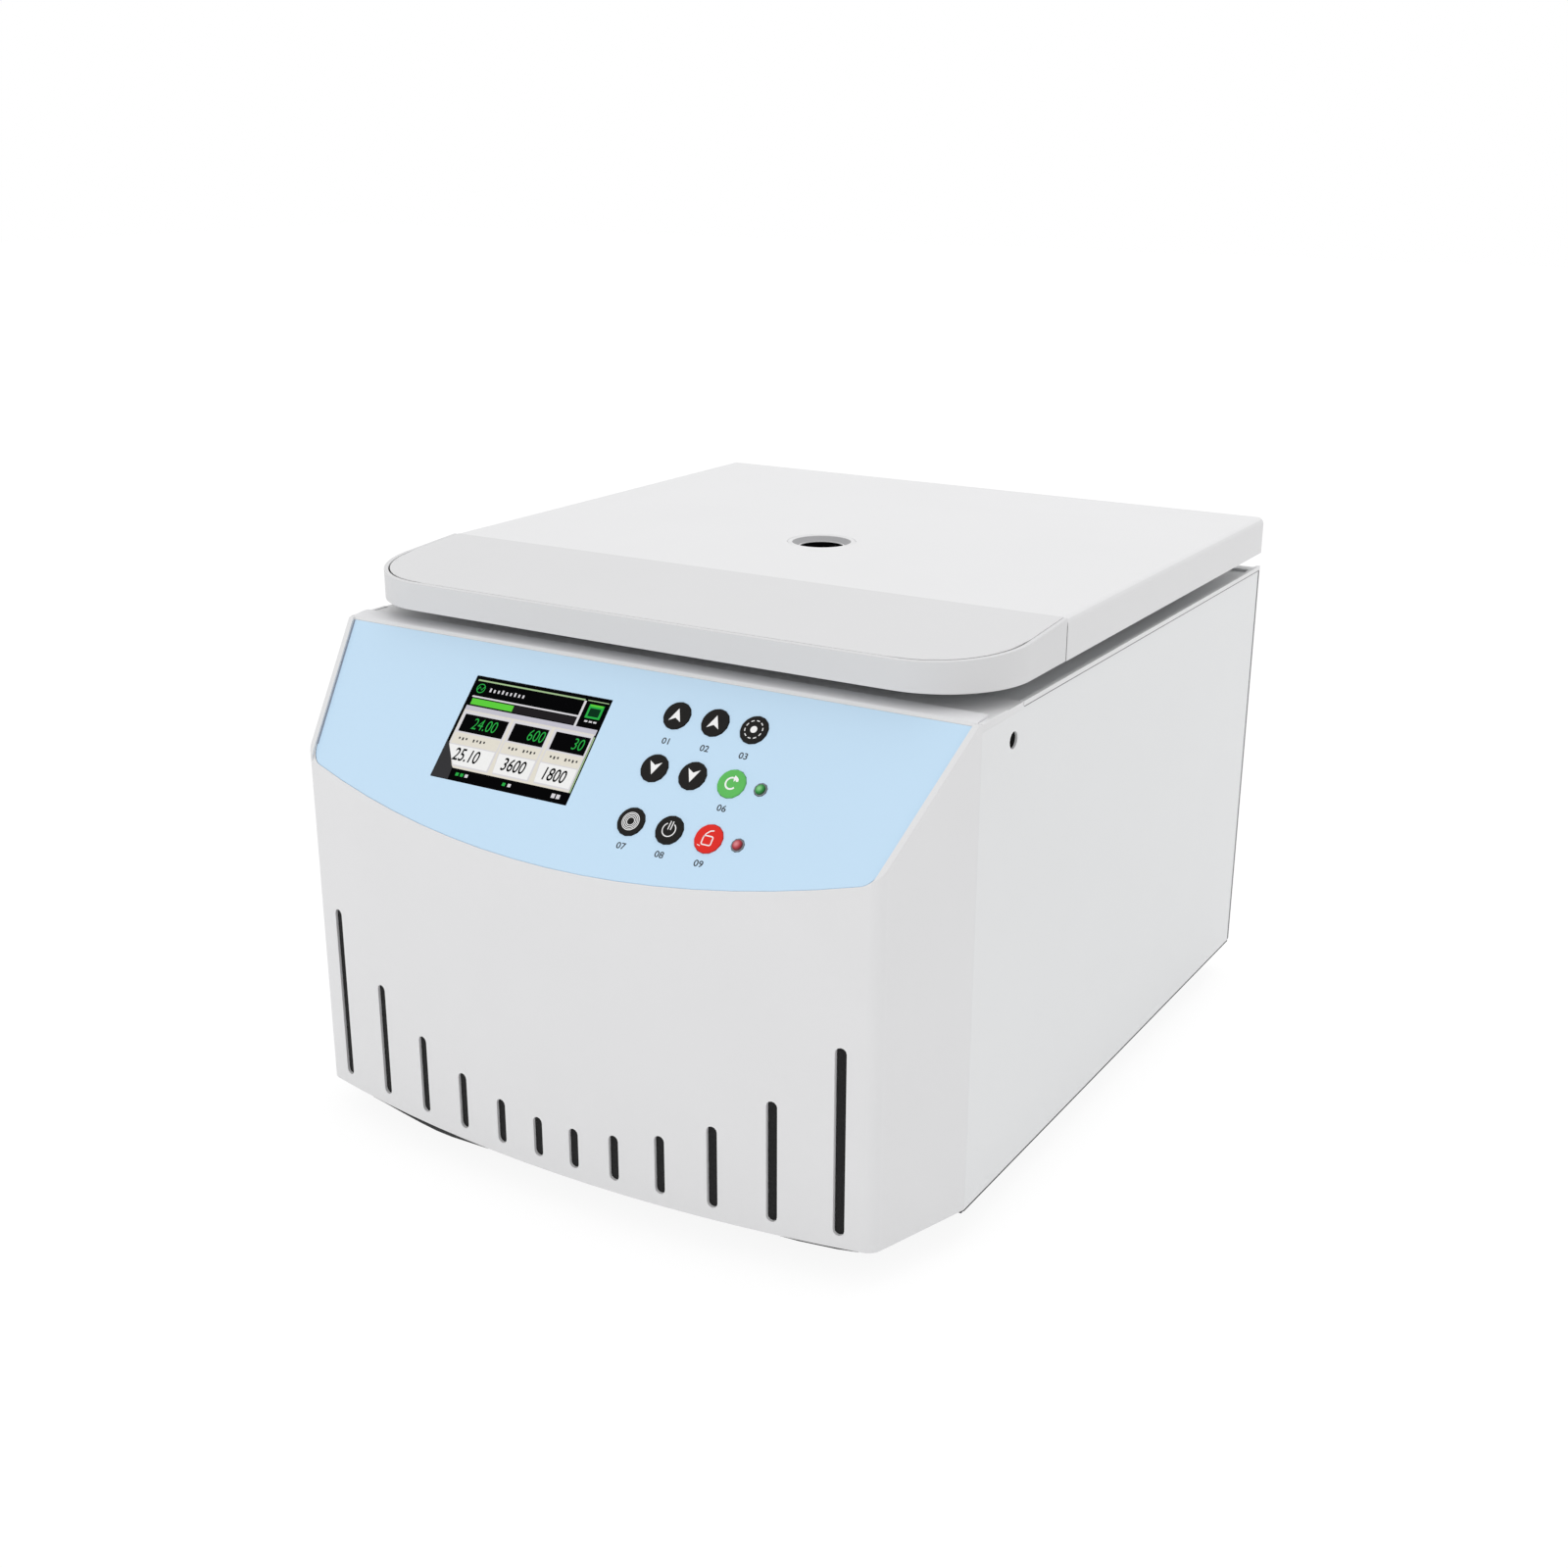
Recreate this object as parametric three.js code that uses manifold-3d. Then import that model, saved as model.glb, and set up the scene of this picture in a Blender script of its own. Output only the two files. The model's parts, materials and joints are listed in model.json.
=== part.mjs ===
// A benchtop centrifuge with a hinged lid, a sloped control panel and a swing-out rotor.
// Lengths are in millimetres: +X to the right as seen from the front, +Y to the rear, +Z up.
// The origin lies on the bench, under the middle of the machine's outer box.

import * as THREE from "three";
import { mergeVertices } from "three/addons/utils/BufferGeometryUtils.js";
import Module from "manifold-3d";

const wasm = await Module();
wasm.setup();

// Housing
const bodyWidth = 400;
const facetLength = 61; // how far each facet runs forward
const facetInset = 20; // how far it draws in
const bowDepth = 20.5; // how far the bowed front stands past the facets
const frontCornerRadius = 9;
const mouldingWall = 3;
const sheet = 1.5; // sheet steel of the walls and the lid
const clearance = 0.3; // gap between fitted pieces
const overrun = 20; // how far a cutting solid runs past what it cuts
const weldDistance = 1e-4; // vertices closer than this are one

// Feet and base pan
const footRadius = 22;
const footHeight = 17;
const footWaist = 2.5;
const footSideInset = 65;
const footFrontInset = 61;
const footRearInset = 47;
const panDrop = 3; // how far the pan shows below the walls
const panThickness = 2;
const panLipHeight = 13;
const panFrontInset = 7;
const panVentRadius = 64;
const panVentWidth = 6;
const panVentLength = 30;
const panVentCount = 6;

// Front vents: the pitch widens outwards and the tops follow an arc
const ventCount = 6; // on each side of the middle
const ventWidth = 5.9;
const ventPitch = 23.6;
const ventPitchGrowth = 1.19;
const ventFoot = 7;
const ventMiddleTop = 30;
const ventArcRadius = 205;

// Sloped panel: its frame has x to the right, y up the slope and z out of the panel
const panelSlope = THREE.MathUtils.degToRad(46.75);
const panelWall = 4;
const cheekWidth = 3;
const pocketStep = 0.2; // from the cheeks to the overlay's pocket
const cheekHeight = 1.6;
const ledgeDepth = 45.8;
const overlayThickness = 1;
const overlayCornerRadius = 11;
const overlayLip = 0.8;
const overlayTopMargin = 1.6;

// Display
const screenX = -49.3;
const screenDown = 52.75;
const screenWidth = 90;
const screenHeight = 61.5;
const screenBorder = 2.2;
const displayMargin = 6;
const displayDepth = 9;

// Keys and lamps
const keyRadius = 7.75;
const keyFlange = 1.2;
const keyFlangeThickness = 1;
const keyEdge = 0.4;
const keyHeight = 0.7;
const keyTravel = 0.5;
const keyFirstX = 37.3;
const keyPitchX = 23.1;
const keyFirstDown = 23.8;
const keyPitchDown = 30.4;
const lampX = 100.2;
const lampRadius = 3.5;
const lampHeight = 1.2;
const lampSideHeight = 0.4;
const lampDomeHeight = 1; // where the dome turns over, at about 0.7 of its radius
const switchRadius = 3;

// Control board
const boardThickness = 1.6;
const boardGap = 5; // from the panel's inner face to the board
const boardMargin = 12;
const bossRadius = 4;

// Deck and rear panel
const deckDrop = 1.7; // below the walls' top edge
const deckThickness = 2;
const deckLand = 2.6; // flat strip between the panel's ledge and the chamber's rim
const rearRoom = 72.6; // from the chamber's rim to the rear edge, for hinges and wiring
const shelfWidth = 12;
const rearInset = 3;
const rearFlange = 10;
const rearVentColumns = 2;
const rearVentRows = 9;
const rearVentWidth = 92;
const rearVentHeight = 4;
const rearVentPitch = 11;
const rearVentTopDrop = 50;
const rearVentGap = 24;

// Chamber
const chamberRadius = 132;
const chamberDepth = 152.8;
const chamberCorner = 14;
const rimWidth = 11;
const gasketWidth = 7;
const gasketInset = 2;
const gasketBead = 2.4;
const gasketFoot = 3;
const guardGap = 2.5;
const guardThickness = 4;
const guardHeight = 160;
const bootRadius = 30;
const bootHeight = 11;
const bowlHoleRadius = 22;

// Drive
const mountRadius = 14;
const mountHeight = 20;
const mountFlange = 5; // height of the wide part at each end
const mountCircle = 70;
const mountCount = 3;
const motorPlateRadius = 90;
const motorPlateThickness = 4;
const motorRadius = 52;
const motorHeight = 66;
const motorShoulder = 6;
const motorBossRadius = 18;
const motorBossHeight = 7;
const motorGap = 8.5; // from the boss to the underside of the chamber
const shaftRadius = 8;
const shaftDepthInMotor = 50;

// Swing-out rotor
const pivotHeight = 88; // above the chamber's floor
const pivotRadius = 58;
const yokeHeight = 24;
const yokeRise = 11; // how much of it stands above the pivots
const hubRadius = 18;
const hubRise = 4;
const hubDrop = 11;
const notchStart = 34;
const armReach = 70;
const armCornerReach = 34;
const armHoleRadius = 6;
const armHoleCentre = 43;
const nutRadius = 13;
const nutHeight = 14;
const nutCap = 3;

// Buckets
const bucketRadius = 20;
const bucketWall = 2.3;
const bucketDrop = 66;
const bucketRise = 8;
const bucketLip = 1.2;
const bucketLipHeight = 3;
const bucketFloor = 3.5;
const bucketCorner = 6;
const bucketGap = 2.4; // between the cup and the yoke's arms
const trunnionRadius = 4;
const trunnionSeat = 8; // how far a trunnion reaches into its slot

// Lid
const lidWidth = 402;
const lidRise = 9.4; // gap between the walls' top edge and the lid
const lidHeight = 22.6;
const lidRearInset = 2.7;
const lidFrontReach = 0.5; // past the ridge of the panel
const lidBowDepth = 1.3;
const lidCornerRadius = 50.2;
const lidBend = 94.3; // behind the ridge, where the top starts to slope
const lidSlope = THREE.MathUtils.degToRad(4.2);
const lidEdgeRadius = 4;
const rimWall = 2.5;
const rimEdge = 1;
const rimLedge = 3.5;
const skinGap = 0.2;
const skinCornerExtra = 5;

// View port
const portRadius = 20.3;
const portWall = 1.3;
const portDepth = 5.5;
const portLip = 3.3;
const portLipThickness = 2.5;
const portGlass = 2;

// Hinges
const hingeSideInset = 80;
const hingeWidth = 50;
const hingeInset = 7; // axis, in from the rear edge
const hingeHeight = 5.7; // axis, above the deck
const barrelRadius = 3.6;
const pinRadius = 2;
const leafLength = 20;
const leafThickness = 1.5;
const knuckleWidth = 20;
const knuckleReach = 14;

// Lid lock
const lockSetback = 36.2; // behind the ridge
const lockDrop = 17.2; // below the walls' top edge
const strikerWidth = 10.4;
const strikerThickness = 4;
const strikerTail = 10;
const strikerFoot = 24;
const boltWidth = 5.6;
const boltHeight = 8;
const boltLength = 65;
const boltTravel = 12;
const lockClearance = 0.5;
const lockSlotMargin = 3;
const lockLegGap = 3;
const coilLength = 51;
const coilWidth = 24;
const keeperThickness = 7;
const lockWeb = 4;
const rodRadius = 2.5;
const rodEndRadius = 3.8;
const rodEndLength = 6;
const rodEndRecess = 8.5;
const releaseRadius = 4.5;
const guideWall = 1.5;
const guideSpare = 6.5; // behind the rod's end when the bolt is thrown
const guideFlange = 4;

// Power inlet and switch on the rear panel, one above the other
const inletSideInset = 60;
const inletHeight = 52; // above the walls' bottom edge
const inletWidth = 27;
const inletBodyHeight = 20;
const inletDepth = 24;
const inletFlange = 5;
const inletFlangeThickness = 2;
const socketWidth = 24;
const socketHeight = 16.5;
const socketDepth = 17;
const socketChamfer = 5;
const switchHeight = 96;
const bezelWidth = 22;
const bezelHeight = 30;
const bezelDepth = 18;
const bezelWall = 2;
const rockerFace = 5;
const rockerBack = 7;
const rockerTilt = THREE.MathUtils.degToRad(8);
const rockerSetback = 5.5; // pivot, in from the panel's outer face

// Drive electronics
const driveLength = 120;
const driveSideGap = 18; // to the outer face of the side wall
const driveMotorGap = 12; // to the motor's plate
const driveBase = 6;
const finHeight = 34;
const finThickness = 2.5;
const finCount = 9;

// Facets on round pieces
const fineSteps = 40;
const roundSteps = 24;
const bucketSteps = 18;
const smallSteps = 14;
const pinSteps = 10;
const switchSteps = 6;
const arcSteps = 3; // in each quarter of a small arc
const cornerSteps = 7;
const bowSteps = 16;

// Levels and planes that follow from the sizes above
const halfWidth = bodyWidth / 2;
const halfLid = lidWidth / 2;
const rimReach = chamberRadius + rimWidth;
const sideLength = ledgeDepth + deckLand + 2 * rimReach + rearRoom; // from the facets to the rear edge
const frontReach = facetLength + bowDepth;
const rearY = (sideLength + frontReach) / 2;
const ridgeY = rearY - sideLength;
const noseY = ridgeY - frontReach;
const chamberY = rearY - rearRoom - rimReach;
const panBottomZ = footHeight;
const panFloorZ = panBottomZ + panThickness;
const wallBottomZ = panBottomZ + panDrop;
const motorPlateZ = panFloorZ + mountHeight;
const motorBottomZ = motorPlateZ + motorPlateThickness;
const motorTopZ = motorBottomZ + motorHeight;
const chamberFloorZ = motorTopZ + motorBossHeight + motorGap + sheet;
const deckTopZ = chamberFloorZ + chamberDepth;
const wallTopZ = deckTopZ + deckDrop;
const deckBottomZ = deckTopZ - deckThickness;
const deckFrontY = ridgeY + ledgeDepth;
const rearPanelOuterY = rearY - rearInset;
const rearPanelInnerY = rearPanelOuterY - sheet;
const innerHalfWidth = halfWidth - sheet;
const lidBottomZ = wallTopZ + lidRise;
const lidTopZ = lidBottomZ + lidHeight;
const lidRearY = rearY - lidRearInset;
const lidBendY = ridgeY + lidBend;
const chamberOuterRadius = chamberRadius + sheet;
const chamberRimZ = deckTopZ + sheet;
const pivotZ = chamberFloorZ + pivotHeight;
const lockY = ridgeY + lockSetback;
const lockZ = wallTopZ - lockDrop;
const hingeX = halfWidth - hingeSideInset;
const hingeY = rearY - hingeInset;
const hingeZ = deckTopZ + hingeHeight;
const guardInnerRadius = chamberOuterRadius + guardGap;
const boardTopN = -panelWall - boardGap;
const keyBackN = -panelWall - clearance - keyFlangeThickness;
const pocketDepth = overlayThickness + clearance;
const inletX = -halfWidth + inletSideInset;
const driveWidth = halfWidth - driveSideGap - driveMotorGap - motorPlateRadius;
const driveX = -halfWidth + driveSideGap + driveWidth / 2;

const housingPlan = {
  rear: new THREE.Vector2(halfWidth, ridgeY),
  front: new THREE.Vector2(halfWidth - facetInset, ridgeY - facetLength),
  noseY,
};
const lidPlan = {
  rear: new THREE.Vector2(halfLid, lidBendY),
  front: new THREE.Vector2(halfLid, ridgeY - lidFrontReach + lidBowDepth),
  noseY: ridgeY - lidFrontReach,
};
const panelMatrix = new THREE.Matrix4()
  .makeRotationX(panelSlope)
  .setPosition(0, ridgeY, wallTopZ);

// Solids: closed meshes, and cuts and joins between them

function weld(geometry) {
  geometry.deleteAttribute("normal");
  geometry.deleteAttribute("uv");
  const merged = mergeVertices(geometry, weldDistance);
  const index = merged.index.array;
  const kept = [];
  for (let i = 0; i < index.length; i += 3) {
    const [a, b, c] = [index[i], index[i + 1], index[i + 2]];
    if (a !== b && b !== c && c !== a) kept.push(a, b, c);
  }
  merged.setIndex(kept);
  return merged;
}

function toSolid(geometry) {
  const closed = weld(geometry);
  return new wasm.Manifold(new wasm.Mesh({
    numProp: 3,
    vertProperties: new Float32Array(closed.attributes.position.array),
    triVerts: new Uint32Array(closed.index.array),
  }));
}

function toGeometry(solid) {
  const mesh = solid.getMesh();
  const geometry = new THREE.BufferGeometry();
  geometry.setAttribute("position", new THREE.BufferAttribute(mesh.vertProperties, 3));
  geometry.setIndex(new THREE.BufferAttribute(mesh.triVerts, 1));
  return geometry;
}

function joined(...geometries) {
  return geometries.map(toSolid).reduce((whole, piece) => whole.add(piece));
}

function cut(solid, ...tools) {
  return tools.map(toSolid).reduce((left, tool) => left.subtract(tool), solid);
}

function block(lowX, highX, lowY, highY, lowZ, highZ) {
  const geometry = new THREE.BoxGeometry(highX - lowX, highY - lowY, highZ - lowZ);
  return geometry.translate((lowX + highX) / 2, (lowY + highY) / 2, (lowZ + highZ) / 2);
}

function prism(points, lowZ, highZ) {
  const shape = new THREE.Shape(points);
  const settings = { depth: highZ - lowZ, bevelEnabled: false };
  return new THREE.ExtrudeGeometry(shape, settings).translate(0, 0, lowZ);
}

// A profile of [y, z] pairs, carried along X.
function alongX(profile, lowX, highX) {
  const geometry = prism(profile.map(([y, z]) => new THREE.Vector2(y, z)), lowX, highX);
  return geometry.rotateZ(Math.PI / 2).rotateY(Math.PI / 2);
}

// A profile of Vector2 (x, z), carried along Y.
function alongY(points, lowY, highY) {
  return prism(points, -highY, -lowY).rotateX(Math.PI / 2);
}

// A profile of [radius, height] pairs turned about Z, closed on itself or on the axis.
function revolve(profile, steps) {
  const points = profile.map(([radius, height]) => new THREE.Vector2(radius, height));
  if (points[0].x > 0) points.push(points[0].clone());
  if (THREE.ShapeUtils.area(points) < 0) points.reverse();
  return new THREE.LatheGeometry(points, steps).rotateX(Math.PI / 2);
}

function rod(radius, lowZ, highZ, steps) {
  return revolve([[0, lowZ], [radius, lowZ], [radius, highZ], [0, highZ]], steps);
}

function rodAlongX(radius, lowX, highX, y, z, steps) {
  return rod(radius, lowX, highX, steps).rotateY(Math.PI / 2).translate(0, y, z);
}

// A slot with round ends, upright in x and z.
function slotPoints(x, lowZ, highZ, width) {
  const radius = width / 2;
  const path = new THREE.Path();
  path.absarc(x, highZ - radius, radius, 0, Math.PI);
  path.absarc(x, lowZ + radius, radius, Math.PI, 2 * Math.PI);
  return path.getPoints(arcSteps);
}

// Points of an outline seen from above, from the right rear round the front to the left rear:
// straight sides, round corners and a bowed front.
function bowedFront(plan, sideInset, bowInset, cornerRadius, startY = plan.rear.y) {
  const { rear, front } = plan;
  const along = front.clone().sub(rear).normalize();
  const inward = new THREE.Vector2(along.y, -along.x);
  const rise = front.y - plan.noseY;
  const bowRadius = (front.x ** 2 + rise ** 2) / (2 * rise);
  const bowCentre = new THREE.Vector2(0, plan.noseY + bowRadius);
  const start = rear.clone().addScaledVector(inward, sideInset);
  start.addScaledVector(along, (startY - start.y) / along.y);

  const line = rear.clone().addScaledVector(inward, sideInset + cornerRadius);
  const offset = line.clone().sub(bowCentre);
  const reach = bowRadius - bowInset - cornerRadius;
  const half = offset.dot(along);
  const forward = -half + Math.sqrt(half ** 2 - offset.lengthSq() + reach ** 2);
  const corner = line.addScaledVector(along, forward);

  const firstAngle = Math.atan2(-inward.y, -inward.x);
  const bowAngle = Math.atan2(corner.y - bowCentre.y, corner.x);
  const right = [start];
  for (let i = 0; i <= cornerSteps; i++) {
    const angle = THREE.MathUtils.lerp(firstAngle, bowAngle, i / cornerSteps);
    const spoke = new THREE.Vector2(Math.cos(angle), Math.sin(angle));
    right.push(corner.clone().addScaledVector(spoke, cornerRadius));
  }
  const bow = [];
  for (let i = 1; i < bowSteps; i++) {
    const angle = THREE.MathUtils.lerp(bowAngle, -Math.PI - bowAngle, i / bowSteps);
    const spoke = new THREE.Vector2(Math.cos(angle), Math.sin(angle));
    bow.push(bowCentre.clone().addScaledVector(spoke, bowRadius - bowInset));
  }
  const left = right.map((point) => new THREE.Vector2(-point.x, point.y)).reverse();
  return [...right, ...bow, ...left];
}

// The same outline carried straight back to a rear line.
function bowedPlan(plan, sideInset, bowInset, cornerRadius, backY) {
  const points = bowedFront(plan, sideInset, bowInset, cornerRadius);
  const first = points[0];
  const last = points[points.length - 1];
  return [...points, new THREE.Vector2(last.x, backY), new THREE.Vector2(first.x, backY)];
}

// Everything above a plane that lies parallel to the sloped panel.
function abovePanel(height) {
  const reach = halfWidth + overrun;
  const slab = block(-reach, reach, -2 * frontReach, overrun, height, height + frontReach);
  return slab.applyMatrix4(panelMatrix);
}

function throughPanel(geometry) {
  return geometry.applyMatrix4(panelMatrix);
}

const keyPlaces = [];
for (let row = 0; row < 3; row++) {
  for (let column = 0; column < 3; column++) {
    keyPlaces.push([keyFirstX + column * keyPitchX, -keyFirstDown - row * keyPitchDown]);
  }
}
const lampPlaces = [1, 2].map((row) => [lampX, -keyFirstDown - row * keyPitchDown]);

function panelHoles() {
  const depth = -panelWall - overrun / 2;
  const hole = (radius, steps) => ([x, y]) => rod(radius, depth, overrun, steps).translate(x, y, 0);
  const holes = [
    ...keyPlaces.map(hole(keyRadius + clearance, smallSteps)),
    ...lampPlaces.map(hole(lampRadius + clearance, pinSteps)),
  ];
  return holes.map(throughPanel);
}

function screenBlock(margin, lowN, highN) {
  const x = screenWidth / 2 + margin;
  const y = screenHeight / 2 + margin;
  return block(-x, x, -y, y, lowN, highN).translate(screenX, -screenDown, 0);
}

// Housing pieces

function ventSlots() {
  const slots = [];
  for (let i = 0; i < ventCount; i++) {
    const x = (i + 1 / 2) * (ventPitch + ventPitchGrowth * i);
    const rise = ventArcRadius - Math.sqrt(ventArcRadius ** 2 - x ** 2);
    const highZ = wallBottomZ + ventMiddleTop + rise;
    for (const side of [-1, 1]) {
      const points = slotPoints(side * x, wallBottomZ + ventFoot, highZ, ventWidth);
      slots.push(alongY(points, noseY - overrun, ridgeY - facetLength + overrun));
    }
  }
  return slots;
}

// The overlay's plan, which is also the pocket's when it is grown by the clearance.
function overlayPlan(grow) {
  const sideInset = cheekWidth + pocketStep + clearance - grow;
  const topY = ridgeY - overlayTopMargin * Math.cos(panelSlope) + grow;
  return bowedFront(housingPlan, sideInset, overlayLip - grow, overlayCornerRadius + grow, topY);
}

function boardBosses() {
  return boardCorners().map(([x, y]) => {
    const boss = rod(bossRadius, boardTopN + clearance, -panelWall + clearance, pinSteps);
    return throughPanel(boss.translate(x, y, 0));
  });
}

function frontFascia() {
  const outline = (backY) => bowedPlan(housingPlan, 0, 0, frontCornerRadius, backY);
  const shell = joined(
    prism(outline(ridgeY), wallBottomZ, wallTopZ),
    prism(outline(deckFrontY), deckBottomZ, wallTopZ),
  );
  const innerRadius = frontCornerRadius - mouldingWall;
  const insideBackY = deckFrontY + overrun;
  const inside = bowedPlan(housingPlan, mouldingWall, mouldingWall, innerRadius, insideBackY);
  const hollow = toSolid(prism(inside, wallBottomZ - overrun, deckBottomZ));
  const field = bowedPlan(housingPlan, cheekWidth, -cheekWidth, overlayCornerRadius, deckFrontY);
  const fieldCut = toSolid(prism(field, wallBottomZ, wallTopZ + overrun));
  const pocket = toSolid(prism(overlayPlan(clearance), wallBottomZ, wallTopZ + overrun));
  const strikerSlot = block(
    -strikerThickness / 2 - lockSlotMargin, strikerThickness / 2 + lockSlotMargin,
    lockY - strikerWidth / 2 - lockSlotMargin, lockY + strikerWidth / 2 + lockClearance,
    deckBottomZ - overrun, wallTopZ + overrun,
  );
  let fascia = shell.subtract(hollow.subtract(toSolid(abovePanel(-panelWall))));
  fascia = fascia.subtract(toSolid(abovePanel(cheekHeight)));
  fascia = fascia.subtract(fieldCut.intersect(toSolid(abovePanel(0))));
  fascia = boardBosses().map(toSolid).reduce((whole, boss) => whole.add(boss), fascia);
  fascia = fascia.subtract(pocket.intersect(toSolid(abovePanel(-pocketDepth))));
  const window = throughPanel(screenBlock(-screenBorder, -panelWall - overrun, overrun));
  return toGeometry(cut(fascia, window, strikerSlot, ...panelHoles(), ...ventSlots()));
}

function controlOverlay() {
  const sheetBody = toSolid(prism(overlayPlan(0), wallBottomZ, wallTopZ + overrun));
  const slab = toSolid(abovePanel(-overlayThickness)).subtract(toSolid(abovePanel(0)));
  const window = throughPanel(screenBlock(clearance, -panelWall - overrun, overrun));
  return toGeometry(cut(sheetBody.intersect(slab), window, ...panelHoles()));
}

function sidePanel(side) {
  const shelfX = innerHalfWidth - shelfWidth;
  const wall = joined(
    block(innerHalfWidth, halfWidth, ridgeY, rearY, wallBottomZ, wallTopZ),
    block(shelfX, innerHalfWidth, ridgeY, rearPanelInnerY, deckBottomZ - sheet, deckBottomZ),
  );
  const insideX = innerHalfWidth - overrun / 2;
  const outsideX = halfWidth + overrun;
  const ledgeCut = block(
    insideX, outsideX, ridgeY - overrun, deckFrontY, deckBottomZ, wallTopZ + overrun,
  );
  const hole = rodAlongX(releaseRadius, insideX, outsideX, lockY, lockZ, smallSteps);
  const tools = side > 0 ? [ledgeCut, hole] : [ledgeCut];
  const geometry = toGeometry(cut(wall, ...tools));
  return side > 0 ? geometry : mirrored(geometry);
}

// The left hand of a piece: flipped in x, with its faces turned the right way round again.
function mirrored(geometry) {
  const flipped = geometry.clone().scale(-1, 1, 1);
  const index = flipped.index.array;
  for (let i = 0; i < index.length; i += 3) {
    [index[i], index[i + 1]] = [index[i + 1], index[i]];
  }
  return flipped;
}

function rearVents() {
  const slots = [];
  for (let row = 0; row < rearVentRows; row++) {
    const highZ = wallTopZ - rearVentTopDrop - row * rearVentPitch;
    for (let column = 0; column < rearVentColumns; column++) {
      const pitch = rearVentWidth + rearVentGap;
      const x = (column - (rearVentColumns - 1) / 2) * pitch;
      slots.push(block(
        x - rearVentWidth / 2, x + rearVentWidth / 2,
        rearPanelInnerY - overrun, rearPanelOuterY + overrun,
        highZ - rearVentHeight, highZ,
      ));
    }
  }
  return slots;
}

function rearPanel() {
  const flangeTopZ = deckTopZ + sheet;
  const across = (lowY, lowZ) => block(
    -innerHalfWidth, innerHalfWidth, lowY, rearPanelOuterY, lowZ, flangeTopZ,
  );
  const panel = joined(
    across(rearPanelInnerY, wallBottomZ),
    across(rearPanelOuterY - rearFlange, deckTopZ),
  );
  const hole = (x, height, halfX, halfZ) => {
    const z = wallBottomZ + height;
    return block(
      x - halfX - clearance, x + halfX + clearance,
      rearPanelInnerY - overrun, rearPanelOuterY + overrun,
      z - halfZ - clearance, z + halfZ + clearance,
    );
  };
  const inletHole = hole(inletX, inletHeight, inletWidth / 2, inletBodyHeight / 2);
  const switchHole = hole(
    inletX, switchHeight, bezelWidth / 2 - bezelWall, bezelHeight / 2 - bezelWall,
  );
  return toGeometry(cut(panel, inletHole, switchHole, ...rearVents()));
}

function topDeck() {
  const plate = toSolid(block(
    -innerHalfWidth, innerHalfWidth, deckFrontY, rearPanelInnerY, deckBottomZ, deckTopZ,
  ));
  const radius = chamberOuterRadius + clearance;
  const opening = rod(radius, deckBottomZ - overrun, deckTopZ + overrun, fineSteps);
  return toGeometry(cut(plate, opening.translate(0, chamberY, 0)));
}

function basePan() {
  const frontInset = mouldingWall + clearance;
  const sideInset = sheet + clearance;
  const frontRadius = frontCornerRadius - mouldingWall;
  const backY = rearPanelInnerY - clearance;
  const lipZ = wallBottomZ + panLipHeight;
  const tray = (grow, lowZ, highZ) => {
    const sideGrow = frontInset + grow;
    const front = bowedPlan(
      housingPlan, sideGrow, panFrontInset + grow, frontRadius - grow, ridgeY + overrun,
    );
    const x = halfWidth - sideInset - grow;
    const back = block(-x, x, ridgeY + clearance + grow, backY - grow, lowZ, highZ);
    return joined(prism(front, lowZ, highZ), back);
  };
  const vents = [];
  for (let i = 0; i < panVentCount; i++) {
    const slot = block(
      panVentRadius, panVentRadius + panVentLength, -panVentWidth / 2, panVentWidth / 2,
      panBottomZ - overrun, panFloorZ + overrun,
    );
    const turn = (i / panVentCount) * 2 * Math.PI;
    vents.push(slot.rotateZ(turn).translate(0, chamberY, 0));
  }
  const shell = tray(0, panBottomZ, lipZ).subtract(tray(panThickness, panFloorZ, lipZ + overrun));
  return toGeometry(cut(shell, ...vents));
}

function foot() {
  const profile = [
    [0, 0], [footRadius - footWaist, 0], [footRadius, footWaist], [footRadius, footHeight / 2],
    [footRadius - footWaist, footHeight], [0, footHeight],
  ];
  return revolve(profile, roundSteps);
}

// Chamber pieces, about the rotor's axis

function chamberBowl() {
  const underFloorZ = chamberFloorZ - sheet;
  const bend = chamberCorner * (1 - Math.SQRT1_2);
  const profile = [
    [bowlHoleRadius, underFloorZ], [chamberOuterRadius - chamberCorner, underFloorZ],
    [chamberOuterRadius - bend, underFloorZ + bend], [chamberOuterRadius, underFloorZ + chamberCorner],
    [chamberOuterRadius, deckTopZ], [rimReach, deckTopZ], [rimReach, chamberRimZ],
    [chamberRadius, chamberRimZ], [chamberRadius, chamberFloorZ + chamberCorner],
    [chamberRadius - bend, chamberFloorZ + bend], [chamberRadius - chamberCorner, chamberFloorZ],
    [bowlHoleRadius, chamberFloorZ],
  ];
  return revolve(profile, fineSteps);
}

function guardRing() {
  const outerRadius = guardInnerRadius + guardThickness;
  const lowZ = deckBottomZ - guardHeight;
  const profile = [
    [guardInnerRadius, lowZ], [outerRadius, lowZ],
    [outerRadius, deckBottomZ], [guardInnerRadius, deckBottomZ],
  ];
  return revolve(profile, fineSteps);
}

function chamberGasket() {
  const innerRadius = chamberRadius + gasketInset;
  const outerRadius = innerRadius + gasketWidth;
  const middle = (innerRadius + outerRadius) / 2;
  const topZ = lidBottomZ - clearance;
  const profile = [
    [innerRadius, chamberRimZ], [outerRadius, chamberRimZ],
    [outerRadius, chamberRimZ + gasketFoot], [middle + gasketBead / 2, topZ],
    [middle - gasketBead / 2, topZ], [innerRadius, chamberRimZ + gasketFoot],
  ];
  return revolve(profile, fineSteps);
}

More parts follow.
